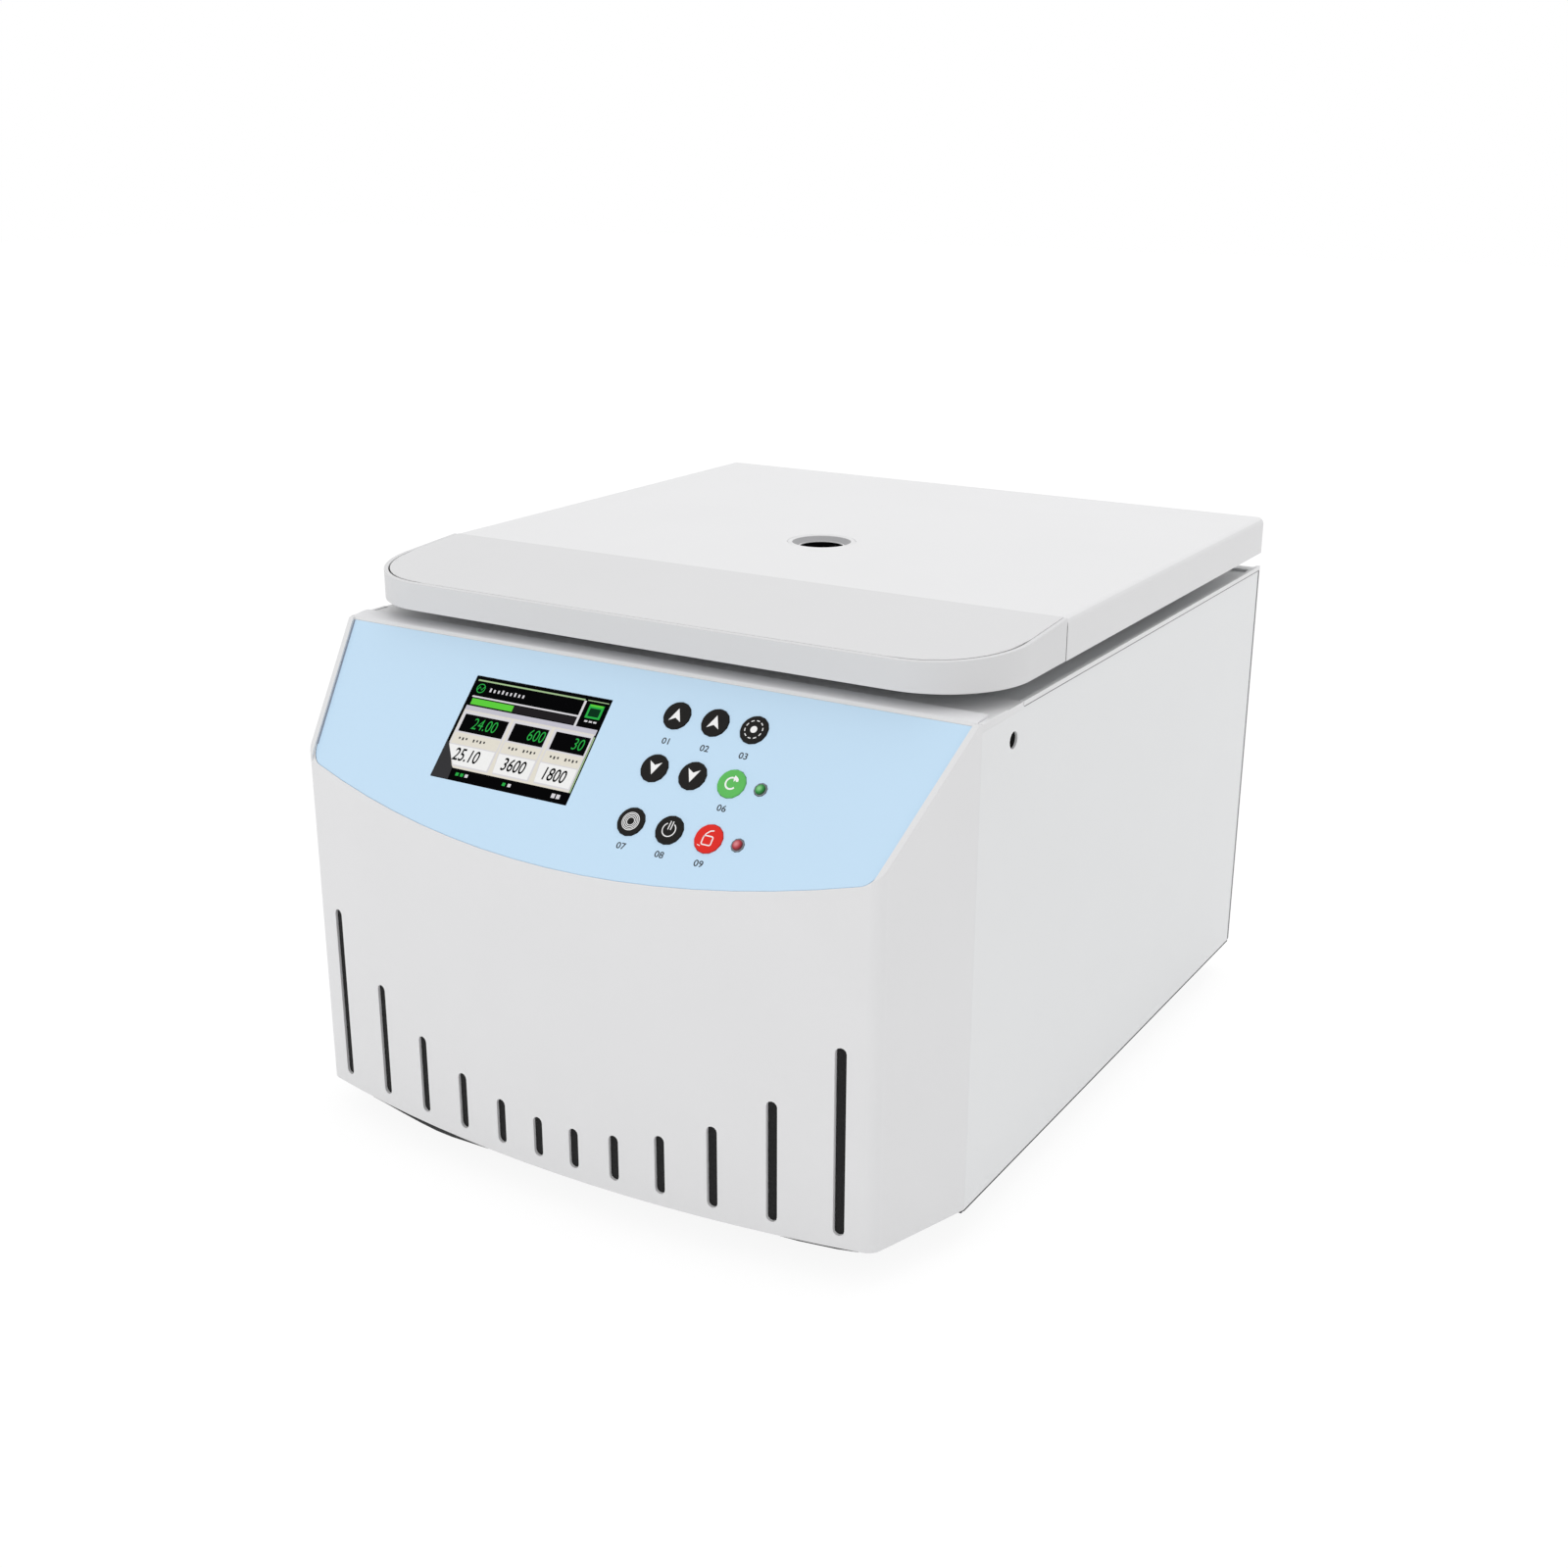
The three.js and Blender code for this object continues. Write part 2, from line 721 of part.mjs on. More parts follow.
function shaftBoot() {
  const bore = shaftRadius + sheet;
  const neck = bore + sheet;
  const profile = [
    [bore, chamberFloorZ], [bootRadius, chamberFloorZ], [bootRadius, chamberFloorZ + sheet],
    [neck + sheet, chamberFloorZ + bootHeight / 2], [neck, chamberFloorZ + bootHeight],
    [bore, chamberFloorZ + bootHeight],
  ];
  return revolve(profile, roundSteps);
}

// Drive pieces

function motorMount() {
  const waist = mountRadius - footWaist;
  const profile = [
    [0, 0], [mountRadius, 0], [mountRadius, mountFlange], [waist, mountHeight / 2],
    [mountRadius, mountHeight - mountFlange], [mountRadius, mountHeight], [0, mountHeight],
  ];
  return revolve(profile, pinSteps);
}

function motorPlate() {
  const profile = [
    [motorRadius / 2, motorPlateZ], [motorPlateRadius, motorPlateZ],
    [motorPlateRadius, motorBottomZ], [motorRadius / 2, motorBottomZ],
  ];
  return revolve(profile, roundSteps);
}

function motorHousing() {
  const bossZ = motorTopZ + motorBossHeight;
  const boreZ = bossZ - shaftDepthInMotor;
  const bore = shaftRadius + clearance;
  const profile = [
    [0, motorBottomZ], [motorRadius, motorBottomZ], [motorRadius, motorTopZ - motorShoulder],
    [motorRadius - motorShoulder, motorTopZ], [motorBossRadius, motorTopZ], [motorBossRadius, bossZ],
    [bore, bossZ], [bore, boreZ], [0, boreZ],
  ];
  return revolve(profile, roundSteps);
}

function driveModule() {
  const lowX = -driveWidth / 2;
  const points = [new THREE.Vector2(lowX, 0), new THREE.Vector2(-lowX, 0)];
  const pitch = (driveWidth - finThickness) / (finCount - 1);
  for (let i = finCount - 1; i >= 0; i--) {
    const x = lowX + i * pitch;
    const heights = [driveBase, driveBase + finHeight, driveBase + finHeight, driveBase];
    const places = [x + finThickness, x + finThickness, x, x];
    places.forEach((place, k) => points.push(new THREE.Vector2(place, heights[k])));
  }
  return alongY(points, -driveLength / 2, driveLength / 2);
}

// Rotor pieces, about the rotor's axis

function driveShaft() {
  const topZ = yokeTopZ() + hubRise + nutHeight - nutCap - clearance;
  const lowZ = motorTopZ + motorBossHeight - shaftDepthInMotor + clearance;
  return rod(shaftRadius, lowZ, topZ, smallSteps);
}

function yokeTopZ() {
  return pivotZ + yokeRise;
}

function rotorYoke() {
  const side = bucketRadius + bucketGap;
  const lowZ = yokeTopZ() - yokeHeight;
  const arm = [
    [side, side], [armReach, side], [armReach, armCornerReach],
    [armCornerReach, armReach], [side, armReach],
  ];
  const pieces = [block(-notchStart, notchStart, -notchStart, notchStart, lowZ, yokeTopZ())];
  const cuts = [];
  for (let quarter = 0; quarter < 4; quarter++) {
    const turn = (quarter * Math.PI) / 2;
    const outline = arm.map(([x, y]) => new THREE.Vector2(x, y));
    pieces.push(prism(outline, lowZ, yokeTopZ()).rotateZ(turn));
    const hole = rod(armHoleRadius, lowZ - overrun, yokeTopZ() + overrun, pinSteps);
    cuts.push(hole.translate(armHoleCentre, armHoleCentre, 0).rotateZ(turn));
    cuts.push(trunnionSlot().rotateZ(turn));
  }
  pieces.push(rod(hubRadius, lowZ - hubDrop, yokeTopZ() + hubRise, roundSteps));
  cuts.push(rod(shaftRadius + clearance, lowZ - overrun, yokeTopZ() + overrun, smallSteps));
  return toGeometry(cut(joined(...pieces), ...cuts));
}

// The open-topped slot that takes one bucket's trunnions, along y at the pivot radius.
function trunnionSlot() {
  const radius = trunnionRadius + clearance;
  const path = new THREE.Path();
  path.absarc(pivotRadius, pivotZ, radius, Math.PI, 2 * Math.PI);
  const points = path.getPoints(arcSteps);
  points.push(new THREE.Vector2(pivotRadius + radius, pivotZ + yokeHeight));
  points.push(new THREE.Vector2(pivotRadius - radius, pivotZ + yokeHeight));
  const reach = trunnionReach() + clearance;
  return alongY(points, -reach, reach);
}

function trunnionReach() {
  return bucketRadius + bucketGap + trunnionSeat;
}

function rotorNut() {
  const lowZ = yokeTopZ() + hubRise;
  const bore = shaftRadius + clearance;
  const profile = [
    [bore, lowZ], [nutRadius, lowZ], [nutRadius, lowZ + nutHeight - nutCap],
    [nutRadius - nutCap, lowZ + nutHeight], [0, lowZ + nutHeight],
    [0, lowZ + nutHeight - nutCap], [bore, lowZ + nutHeight - nutCap],
  ];
  return revolve(profile, smallSteps);
}

// A swing-out bucket, about its pivot: a cup with a lip and two trunnions along y.
function bucket() {
  const inner = bucketRadius - bucketWall;
  const bend = bucketCorner * (1 - Math.SQRT1_2);
  const floor = -bucketDrop + bucketFloor;
  const profile = [
    [0, -bucketDrop], [bucketRadius - bucketCorner, -bucketDrop],
    [bucketRadius - bend, -bucketDrop + bend],
    [bucketRadius, -bucketDrop + bucketCorner], [bucketRadius, bucketRise - bucketLipHeight],
    [bucketRadius + bucketLip, bucketRise - bucketLipHeight], [bucketRadius + bucketLip, bucketRise],
    [inner, bucketRise], [inner, floor + bucketCorner], [inner - bucketCorner, floor], [0, floor],
  ];
  const cup = revolve(profile, bucketSteps);
  const trunnions = [-1, 1].map((side) => {
    const pin = rod(trunnionRadius, bucketRadius - bucketWall / 2, trunnionReach(), pinSteps);
    return pin.rotateX(-side * Math.PI / 2);
  });
  return toGeometry(joined(cup, ...trunnions));
}

// Lid pieces

function lidTopAt(y) {
  return lidTopZ - Math.max(0, lidBendY - y) * Math.tan(lidSlope);
}

// A hollow box end: the lid's outline across x and z with round upper edges.
function lidSection(inset) {
  const x = halfLid - inset;
  const topZ = lidTopZ - inset;
  const radius = lidEdgeRadius - inset;
  const shape = new THREE.Path();
  shape.moveTo(-x, lidBottomZ - (inset > 0 ? overrun : 0));
  shape.lineTo(x, lidBottomZ - (inset > 0 ? overrun : 0));
  shape.absarc(x - radius, topZ - radius, radius, 0, Math.PI / 2);
  shape.absarc(-x + radius, topZ - radius, radius, Math.PI / 2, Math.PI);
  return shape.getPoints(arcSteps);
}

function portHole() {
  const hole = rod(portRadius + clearance, lidBottomZ - overrun, lidTopZ + overrun, roundSteps);
  return hole.translate(0, chamberY, 0);
}

function lidCover() {
  const rearShell = toSolid(alongY(lidSection(0), lidBendY, lidRearY));
  const hollow = alongY(lidSection(sheet), lidBendY - overrun, lidRearY - sheet);
  const frontY = lidPlan.noseY - overrun;
  const backY = lidBendY + overrun;
  const bent = toSolid(alongX([
    [frontY, lidTopAt(frontY)], [frontY, lidTopAt(frontY) - sheet], [lidBendY, lidTopZ - sheet],
    [backY, lidTopZ - sheet], [backY, lidTopZ], [lidBendY, lidTopZ],
  ], -halfLid, halfLid));
  const inset = rimWall + skinGap;
  const radius = lidCornerRadius - inset + skinCornerExtra;
  const skinPlan = bowedPlan(lidPlan, inset, inset, radius, lidBendY);
  const flatX = halfLid - lidEdgeRadius;
  const skinTopZ = lidTopZ + overrun;
  const backPlan = block(-flatX, flatX, lidBendY - clearance, backY, lidBottomZ, skinTopZ);
  const skinArea = joined(prism(skinPlan, lidBottomZ, skinTopZ), backPlan);
  const cover = cut(rearShell, hollow).add(bent.intersect(skinArea));
  return toGeometry(cut(cover, portHole()));
}

// The moulded rim round the lid's front: one cross-section carried round the bowed outline.
function lidBumper() {
  const ledgeTop = sheet + skinGap;
  const bend = rimEdge * (1 - Math.SQRT1_2);
  const ledgeReach = rimWall + rimLedge;
  const up = (rise) => () => lidBottomZ + rise;
  const down = (drop) => (y) => lidTopAt(y) - drop;
  const section = [
    [rimEdge, up(0)], [0, up(rimEdge)], [0, down(rimEdge)], [bend, down(bend)], [rimEdge, down(0)],
    [rimWall, down(0)], [rimWall, down(ledgeTop)], [ledgeReach, down(ledgeTop)],
    [ledgeReach, down(ledgeTop + sheet)], [rimWall, down(ledgeTop + sheet)], [rimWall, up(0)],
  ];
  const lines = section.map(([inset, height]) => {
    const points = bowedFront(lidPlan, inset, inset, lidCornerRadius - inset);
    return points.map((point) => new THREE.Vector3(point.x, point.y, height(point.y)));
  });
  return sweepLines(lines, section.map(([inset], k) => new THREE.Vector2(inset, lines[k][0].z)));
}

// Skins a bundle of equally long lines that run side by side, and caps both ends.
function sweepLines(lines, endOutline) {
  const count = lines[0].length;
  const positions = lines.flat().flatMap((point) => [point.x, point.y, point.z]);
  const index = [];
  lines.forEach((line, k) => {
    const next = (k + 1) % lines.length;
    for (let i = 0; i + 1 < count; i++) {
      const [a, b, c, d] = [k * count + i, k * count + i + 1, next * count + i + 1, next * count + i];
      index.push(a, c, b, a, d, c);
    }
  });
  const caps = THREE.ShapeUtils.triangulateShape(endOutline, []);
  caps.forEach(([a, b, c]) => {
    index.push(a * count, b * count, c * count);
    index.push(c * count + count - 1, b * count + count - 1, a * count + count - 1);
  });
  const geometry = new THREE.BufferGeometry();
  geometry.setAttribute("position", new THREE.Float32BufferAttribute(positions, 3));
  geometry.setIndex(index);
  return geometry;
}

function lidLiner() {
  const inset = rimWall + clearance;
  const backY = lidRearY - sheet - clearance;
  const outline = bowedPlan(lidPlan, inset, inset, lidCornerRadius - inset, backY);
  return toGeometry(cut(toSolid(prism(outline, lidBottomZ, lidBottomZ + sheet)), portHole()));
}

function portBezel() {
  const inner = portRadius - portWall;
  const lip = portRadius - portLip;
  const seatZ = lidTopZ - portDepth;
  const underZ = seatZ - portLipThickness;
  const profile = [
    [portRadius, lidBottomZ], [portRadius, lidTopZ], [inner, lidTopZ], [inner, seatZ],
    [lip, seatZ], [lip, underZ], [inner, underZ], [inner, lidBottomZ],
  ];
  return revolve(profile, roundSteps);
}

function portWindow() {
  const topZ = lidTopZ - portDepth - portLipThickness;
  return rod(portRadius - portWall - clearance, topZ - portGlass, topZ, roundSteps);
}

function lidStriker() {
  const halfThickness = strikerThickness / 2;
  const halfStrike = strikerWidth / 2;
  const upright = (x, lowZ) => block(-x, x, lockY - halfStrike, lockY + halfStrike, lowZ, lidBottomZ);
  const plate = joined(
    upright(strikerFoot / 2, lidBottomZ - sheet),
    upright(halfThickness, lockZ - strikerTail),
  );
  return toGeometry(cut(plate, boltShape(-overrun, overrun, lockClearance)));
}

// Hinge pieces, about the hinge's axis and the middle of its width

function hingeBase() {
  const halfHinge = hingeWidth / 2;
  const leafZ = -hingeHeight;
  const frontY = -knuckleReach + clearance;
  const leafFrontY = -knuckleReach - leafLength;
  const leaf = block(-halfHinge, halfHinge, leafFrontY, frontY, leafZ, leafZ + leafThickness);
  const riserZ = -barrelRadius + clearance;
  const pieces = [leaf];
  for (const side of [-1, 1]) {
    const lowX = side > 0 ? knuckleWidth / 2 + clearance : -halfHinge;
    const highX = side > 0 ? halfHinge : -knuckleWidth / 2 - clearance;
    pieces.push(block(lowX, highX, -knuckleReach - leafThickness, frontY, leafZ, 0));
    pieces.push(block(lowX, highX, -knuckleReach, 0, riserZ, 0));
    pieces.push(rodAlongX(barrelRadius, lowX, highX, 0, 0, smallSteps));
  }
  const bore = rodAlongX(pinRadius + clearance, -hingeWidth, hingeWidth, 0, 0, pinSteps);
  return toGeometry(cut(joined(...pieces), bore));
}

function hingeLeaf() {
  const leafTop = lidBottomZ - hingeZ;
  const leafZ = leafTop - leafThickness;
  const halfKnuckle = knuckleWidth / 2;
  const pieces = [
    block(-hingeWidth / 2, hingeWidth / 2, -knuckleReach - leafLength, 0, leafZ, leafTop),
    block(-halfKnuckle, halfKnuckle, -barrelRadius, 0, 0, leafTop),
    rodAlongX(barrelRadius, -halfKnuckle, halfKnuckle, 0, 0, smallSteps),
  ];
  const bore = rodAlongX(pinRadius + clearance, -hingeWidth, hingeWidth, 0, 0, pinSteps);
  return toGeometry(cut(joined(...pieces), bore));
}

// Lock pieces

function lockSolenoid() {
  const legX = strikerThickness / 2 + lockLegGap;
  const frontY = lockY - coilWidth / 2;
  const backY = lockY + coilWidth / 2;
  const underZ = lockZ - strikerTail - lockWeb / 2;
  const span = (lowX, highX, lowZ, highZ) => block(lowX, highX, frontY, backY, lowZ, highZ);
  const frame = joined(
    span(legX, legX + coilLength, underZ - lockWeb, deckBottomZ),
    span(-legX - keeperThickness, -legX, underZ - lockWeb, deckBottomZ),
    span(-legX - keeperThickness, legX + coilLength, underZ - lockWeb, underZ),
  );
  return toGeometry(cut(frame, boltShape(-halfWidth, halfWidth, lockClearance)));
}

// The bolt's square section, carried along X and grown all round.
function boltShape(lowX, highX, grow) {
  const y = boltWidth / 2 + grow;
  const z = boltHeight / 2 + grow;
  return block(lowX, highX, lockY - y, lockY + y, lockZ - z, lockZ + z);
}

function lockBolt() {
  const tipX = strikerThickness / 2 + lockLegGap;
  const endX = innerHalfWidth - rodEndRecess;
  return toGeometry(joined(
    boltShape(tipX, tipX + boltLength, 0),
    rodAlongX(rodRadius, tipX + boltLength - clearance, endX, lockY, lockZ, pinSteps),
    rodAlongX(rodEndRadius, endX - rodEndLength, endX, lockY, lockZ, pinSteps),
  ));
}

function releaseGuide() {
  const outer = releaseRadius + guideWall;
  const endX = innerHalfWidth;
  const startX = endX - rodEndRecess - rodEndLength - boltTravel - guideSpare;
  const profile = [
    [releaseRadius, startX], [outer, startX], [outer, endX - guideWall],
    [outer + guideFlange, endX - guideWall], [outer + guideFlange, endX], [releaseRadius, endX],
  ];
  return revolve(profile, smallSteps).rotateY(Math.PI / 2).translate(0, lockY, lockZ);
}

// Rear electrical pieces

function powerInlet() {
  const z = wallBottomZ + inletHeight;
  const halfBody = inletWidth / 2;
  const halfRise = inletBodyHeight / 2;
  const faceY = rearPanelOuterY + inletFlangeThickness;
  const box = (x, rise, lowY) => block(inletX - x, inletX + x, lowY, faceY, z - rise, z + rise);
  const body = joined(
    box(halfBody, halfRise, faceY - inletDepth),
    box(halfBody + inletFlange, halfRise + inletFlange / 2, rearPanelOuterY),
  );
  const x = socketWidth / 2;
  const y = socketHeight / 2;
  const outline = [
    [-x, -y], [x, -y], [x, y - socketChamfer],
    [x - socketChamfer, y], [-x + socketChamfer, y], [-x, y - socketChamfer],
  ].map(([right, up]) => new THREE.Vector2(inletX + right, z + up));
  return toGeometry(cut(body, alongY(outline, faceY - socketDepth, faceY + overrun)));
}

function switchBezel() {
  const z = wallBottomZ + switchHeight;
  const faceY = rearPanelOuterY + sheet;
  const backY = faceY - bezelDepth;
  const box = (inset, lowY, highY) => {
    const x = bezelWidth / 2 - inset;
    const rise = bezelHeight / 2 - inset;
    return block(inletX - x, inletX + x, lowY, highY, z - rise, z + rise);
  };
  const body = joined(box(bezelWall, backY, faceY), box(0, rearPanelOuterY, faceY));
  return toGeometry(cut(body, box(bezelWall + sheet, backY + bezelWall, faceY + overrun)));
}

// The rocker, about its pivot: a shallow vee in front and a rounded back.
function powerRocker() {
  const halfHeight = bezelHeight / 2 - bezelWall - 2 * sheet;
  const halfRocker = bezelWidth / 2 - bezelWall - sheet - clearance;
  const dip = halfHeight * Math.tan(rockerTilt) / 2;
  const tip = rockerFace + dip;
  const profile = [
    [rockerFace - dip, 0], [tip, halfHeight], [0, halfHeight],
    [-rockerBack, 0], [0, -halfHeight], [tip, -halfHeight],
  ];
  return alongX(profile, -halfRocker, halfRocker);
}

// Panel pieces, in the panel's frame

function key() {
  const flange = keyRadius + keyFlange;
  const flangeN = keyBackN + keyFlangeThickness;
  const profile = [
    [0, keyBackN], [flange, keyBackN], [flange, flangeN], [keyRadius, flangeN],
    [keyRadius, keyHeight - keyEdge], [keyRadius - keyEdge, keyHeight], [0, keyHeight],
  ];
  return revolve(profile, smallSteps);
}

function lamp() {
  const flange = lampRadius + keyFlange;
  const flangeN = keyBackN + keyFlangeThickness;
  const profile = [
    [0, keyBackN], [flange, keyBackN], [flange, flangeN], [lampRadius, flangeN],
    [lampRadius, lampSideHeight], [lampRadius * Math.SQRT1_2, lampDomeHeight], [0, lampHeight],
  ];
  return revolve(profile, pinSteps);
}

function displayLens() {
  return screenBlock(0, -overlayThickness, 0);
}

function displayModule() {
  const backN = -panelWall - clearance;
  return toGeometry(joined(
    screenBlock(displayMargin, backN - displayDepth, backN),
    screenBlock(-screenBorder - clearance, backN - displayDepth / 2, -pocketDepth),
  ));
}

function boardOutline() {
  const lowX = screenX - screenWidth / 2 - displayMargin - boardMargin;
  const highX = lampX + boardMargin;
  const highY = -keyFirstDown + boardMargin + clearance;
  const lowY = -keyFirstDown - 2 * keyPitchDown - boardMargin;
  return { lowX, highX, lowY, highY };
}

function boardCorners() {
  const { lowX, highX, lowY, highY } = boardOutline();
  const inset = bossRadius + clearance;
  const acrossX = [lowX + inset, highX - inset];
  return acrossX.flatMap((x) => [[x, lowY + inset], [x, highY - inset]]);
}

function controlBoard() {
  const { lowX, highX, lowY, highY } = boardOutline();
  const backN = boardTopN - boardThickness;
  const switchTopN = keyBackN - keyTravel - clearance;
  const nub = ([x, y]) => rod(switchRadius, backN, switchTopN, switchSteps).translate(x, y, 0);
  const board = joined(
    block(lowX, highX, lowY, highY, backN, boardTopN),
    ...keyPlaces.map(nub),
  );
  return toGeometry(cut(board, screenBlock(displayMargin + clearance, -overrun, overrun)));
}

// Finishes

function finish(color, roughness, metalness = 0) {
  return new THREE.MeshStandardMaterial({ color, roughness, metalness, flatShading: true });
}

const paint = finish(0xe1e2e3, 0.45);
const moulding = finish(0xe4e4e5, 0.5);
const darkPaint = finish(0x3a3c3f, 0.6);
const rubber = finish(0x222324, 0.85);
const steel = finish(0xb9bcbf, 0.3, 1);
const aluminium = finish(0xc3c6c8, 0.4, 1);
const zinc = finish(0x9b9fa3, 0.45, 1);
const overlayBlue = finish(0xc8e2f5, 0.4);
const screenBlack = finish(0x0c0e0f, 0.15);
const lensGlass = finish(0x101314, 0.05);
const boardGreen = finish(0x1f5a35, 0.6);
const keyBlack = finish(0x232221, 0.4);
const keyGreen = finish(0x64bb62, 0.4);
const keyRed = finish(0xdd342e, 0.4);
const lampGreen = finish(0x3f9a52, 0.2);
const lampRed = finish(0xa8342f, 0.2);
const blackPlastic = finish(0x1b1c1d, 0.5);

// Assembly

const machine = new THREE.Group();

function place(parent, name, geometry, material, x = 0, y = 0, z = 0) {
  const mesh = new THREE.Mesh(weld(geometry), material);
  mesh.name = name;
  mesh.position.set(x, y, z);
  parent.add(mesh);
  return mesh;
}

place(machine, "base_pan", basePan(), darkPaint);
const footX = halfWidth - footSideInset;
for (const [end, y] of [["front", noseY + footFrontInset], ["rear", rearY - footRearInset]]) {
  for (const [hand, x] of [["left", -footX], ["right", footX]]) {
    place(machine, `foot_${end}_${hand}`, foot(), rubber, x, y);
  }
}
place(machine, "front_fascia", frontFascia(), moulding);
place(machine, "side_panel_left", sidePanel(-1), paint);
place(machine, "side_panel_right", sidePanel(1), paint);
place(machine, "rear_panel", rearPanel(), paint);
place(machine, "top_deck", topDeck(), paint);

const chamber = new THREE.Group();
chamber.position.set(0, chamberY, 0);
machine.add(chamber);
place(chamber, "chamber_bowl", chamberBowl(), steel);
place(chamber, "guard_ring", guardRing(), zinc);
place(chamber, "chamber_gasket", chamberGasket(), rubber);
place(chamber, "shaft_boot", shaftBoot(), rubber);
place(chamber, "motor_plate", motorPlate(), zinc);
place(chamber, "motor_housing", motorHousing(), aluminium);
for (let i = 0; i < mountCount; i++) {
  const angle = (i / mountCount) * 2 * Math.PI + Math.PI / 2;
  const x = mountCircle * Math.cos(angle);
  const y = mountCircle * Math.sin(angle);
  place(chamber, `motor_mount_${i + 1}`, motorMount(), rubber, x, y, panFloorZ);
}

const rotor = new THREE.Group();
rotor.position.set(0, chamberY, 0);
machine.add(rotor);
place(rotor, "drive_shaft", driveShaft(), steel);
place(rotor, "rotor_yoke", rotorYoke(), aluminium);
place(rotor, "rotor_nut", rotorNut(), steel);
for (let i = 0; i < 4; i++) {
  const arm = new THREE.Group();
  arm.rotation.z = (i * Math.PI) / 2;
  rotor.add(arm);
  place(arm, `bucket_${i + 1}`, bucket(), steel, pivotRadius, 0, pivotZ);
}

const panel = new THREE.Group();
panel.position.set(0, ridgeY, wallTopZ);
panel.rotation.x = panelSlope;
machine.add(panel);
place(machine, "control_overlay", controlOverlay(), overlayBlue);
place(panel, "display_lens", displayLens(), lensGlass);
place(panel, "display_module", displayModule(), screenBlack);
place(panel, "control_board", controlBoard(), boardGreen);
const keyColours = { 6: keyGreen, 9: keyRed };
keyPlaces.forEach(([x, y], i) => {
  place(panel, `key_${i + 1}`, key(), keyColours[i + 1] ?? keyBlack, x, y);
});
place(panel, "lamp_run", lamp(), lampGreen, ...lampPlaces[0]);
place(panel, "lamp_stop", lamp(), lampRed, ...lampPlaces[1]);

place(machine, "lid_cover", lidCover(), paint);
place(machine, "lid_bumper", lidBumper(), moulding);
place(machine, "lid_liner", lidLiner(), steel);
place(machine, "port_bezel", portBezel(), moulding, 0, chamberY);
place(machine, "port_window", portWindow(), lensGlass, 0, chamberY);
place(machine, "lid_striker", lidStriker(), zinc);
for (const [hand, x] of [["left", -hingeX], ["right", hingeX]]) {
  place(machine, `hinge_base_${hand}`, hingeBase(), zinc, x, hingeY, hingeZ);
  place(machine, `hinge_leaf_${hand}`, hingeLeaf(), zinc, x, hingeY, hingeZ);
  const pin = rodAlongX(pinRadius, -hingeWidth / 2, hingeWidth / 2, 0, 0, pinSteps);
  place(machine, `hinge_pin_${hand}`, pin, steel, x, hingeY, hingeZ);
}

place(machine, "lock_solenoid", lockSolenoid(), zinc);
place(machine, "lock_bolt", lockBolt(), steel);
place(machine, "release_guide", releaseGuide(), blackPlastic);
place(machine, "drive_module", driveModule(), aluminium, driveX, chamberY, panFloorZ);
place(machine, "power_inlet", powerInlet(), blackPlastic);
place(machine, "switch_bezel", switchBezel(), blackPlastic);
const rocker = place(
  machine, "power_rocker", powerRocker(), blackPlastic,
  inletX, rearPanelOuterY - rockerSetback, wallBottomZ + switchHeight,
);
rocker.rotation.x = rockerTilt;

export default machine;
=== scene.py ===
# %% [markdown]
# # Benchtop centrifuge
# A small laboratory centrifuge: a painted box with a sloped control panel, a row of vent slots across
# its bowed front, and a wide hinged lid with a round view port. Under the lid a swing-out rotor with
# four cup buckets turns in a steel chamber. The construction comes in as a fixed frame of plain
# solids. Each cell below takes one piece or one finish and makes it look as the real one does.

# %% Load the frame
import json
import math

import bmesh
import bpy
from mathutils import Matrix, Vector


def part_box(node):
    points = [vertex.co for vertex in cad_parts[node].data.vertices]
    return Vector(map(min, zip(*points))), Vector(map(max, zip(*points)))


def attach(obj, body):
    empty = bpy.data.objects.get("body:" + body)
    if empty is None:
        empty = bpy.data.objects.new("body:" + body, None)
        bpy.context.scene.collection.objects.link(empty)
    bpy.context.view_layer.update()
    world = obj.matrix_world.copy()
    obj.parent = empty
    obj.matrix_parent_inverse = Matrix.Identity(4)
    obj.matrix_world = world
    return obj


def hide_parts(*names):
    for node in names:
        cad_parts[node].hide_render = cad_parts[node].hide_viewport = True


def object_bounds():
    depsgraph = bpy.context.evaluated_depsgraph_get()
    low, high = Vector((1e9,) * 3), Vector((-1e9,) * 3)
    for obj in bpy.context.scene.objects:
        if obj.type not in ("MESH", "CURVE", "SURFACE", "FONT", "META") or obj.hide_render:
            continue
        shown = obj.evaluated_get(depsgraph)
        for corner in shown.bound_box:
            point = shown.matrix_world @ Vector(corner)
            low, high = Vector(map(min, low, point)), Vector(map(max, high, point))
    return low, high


MM = 0.001
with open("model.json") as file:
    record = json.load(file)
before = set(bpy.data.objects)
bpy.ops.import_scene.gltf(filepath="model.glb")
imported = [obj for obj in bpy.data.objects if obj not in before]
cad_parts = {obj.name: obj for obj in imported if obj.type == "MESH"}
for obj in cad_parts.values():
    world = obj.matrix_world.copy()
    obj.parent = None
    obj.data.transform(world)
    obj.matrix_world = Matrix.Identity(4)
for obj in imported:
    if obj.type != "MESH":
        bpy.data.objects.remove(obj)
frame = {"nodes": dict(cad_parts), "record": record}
nodes = frame["nodes"]
scene = bpy.context.scene
size_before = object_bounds()
body_of = {
    node: body
    for body, members in frame["record"]["behaviour"]["bodies"].items()
    for node in members
}
slot_of = {entry["node"]: entry["material_slot"] for entry in frame["record"]["subparts"]}


def middle_of(node):
    """The middle of a node's box."""
    low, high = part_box(node)
    return (low + high) / 2


print("pieces in the frame:", len(nodes))

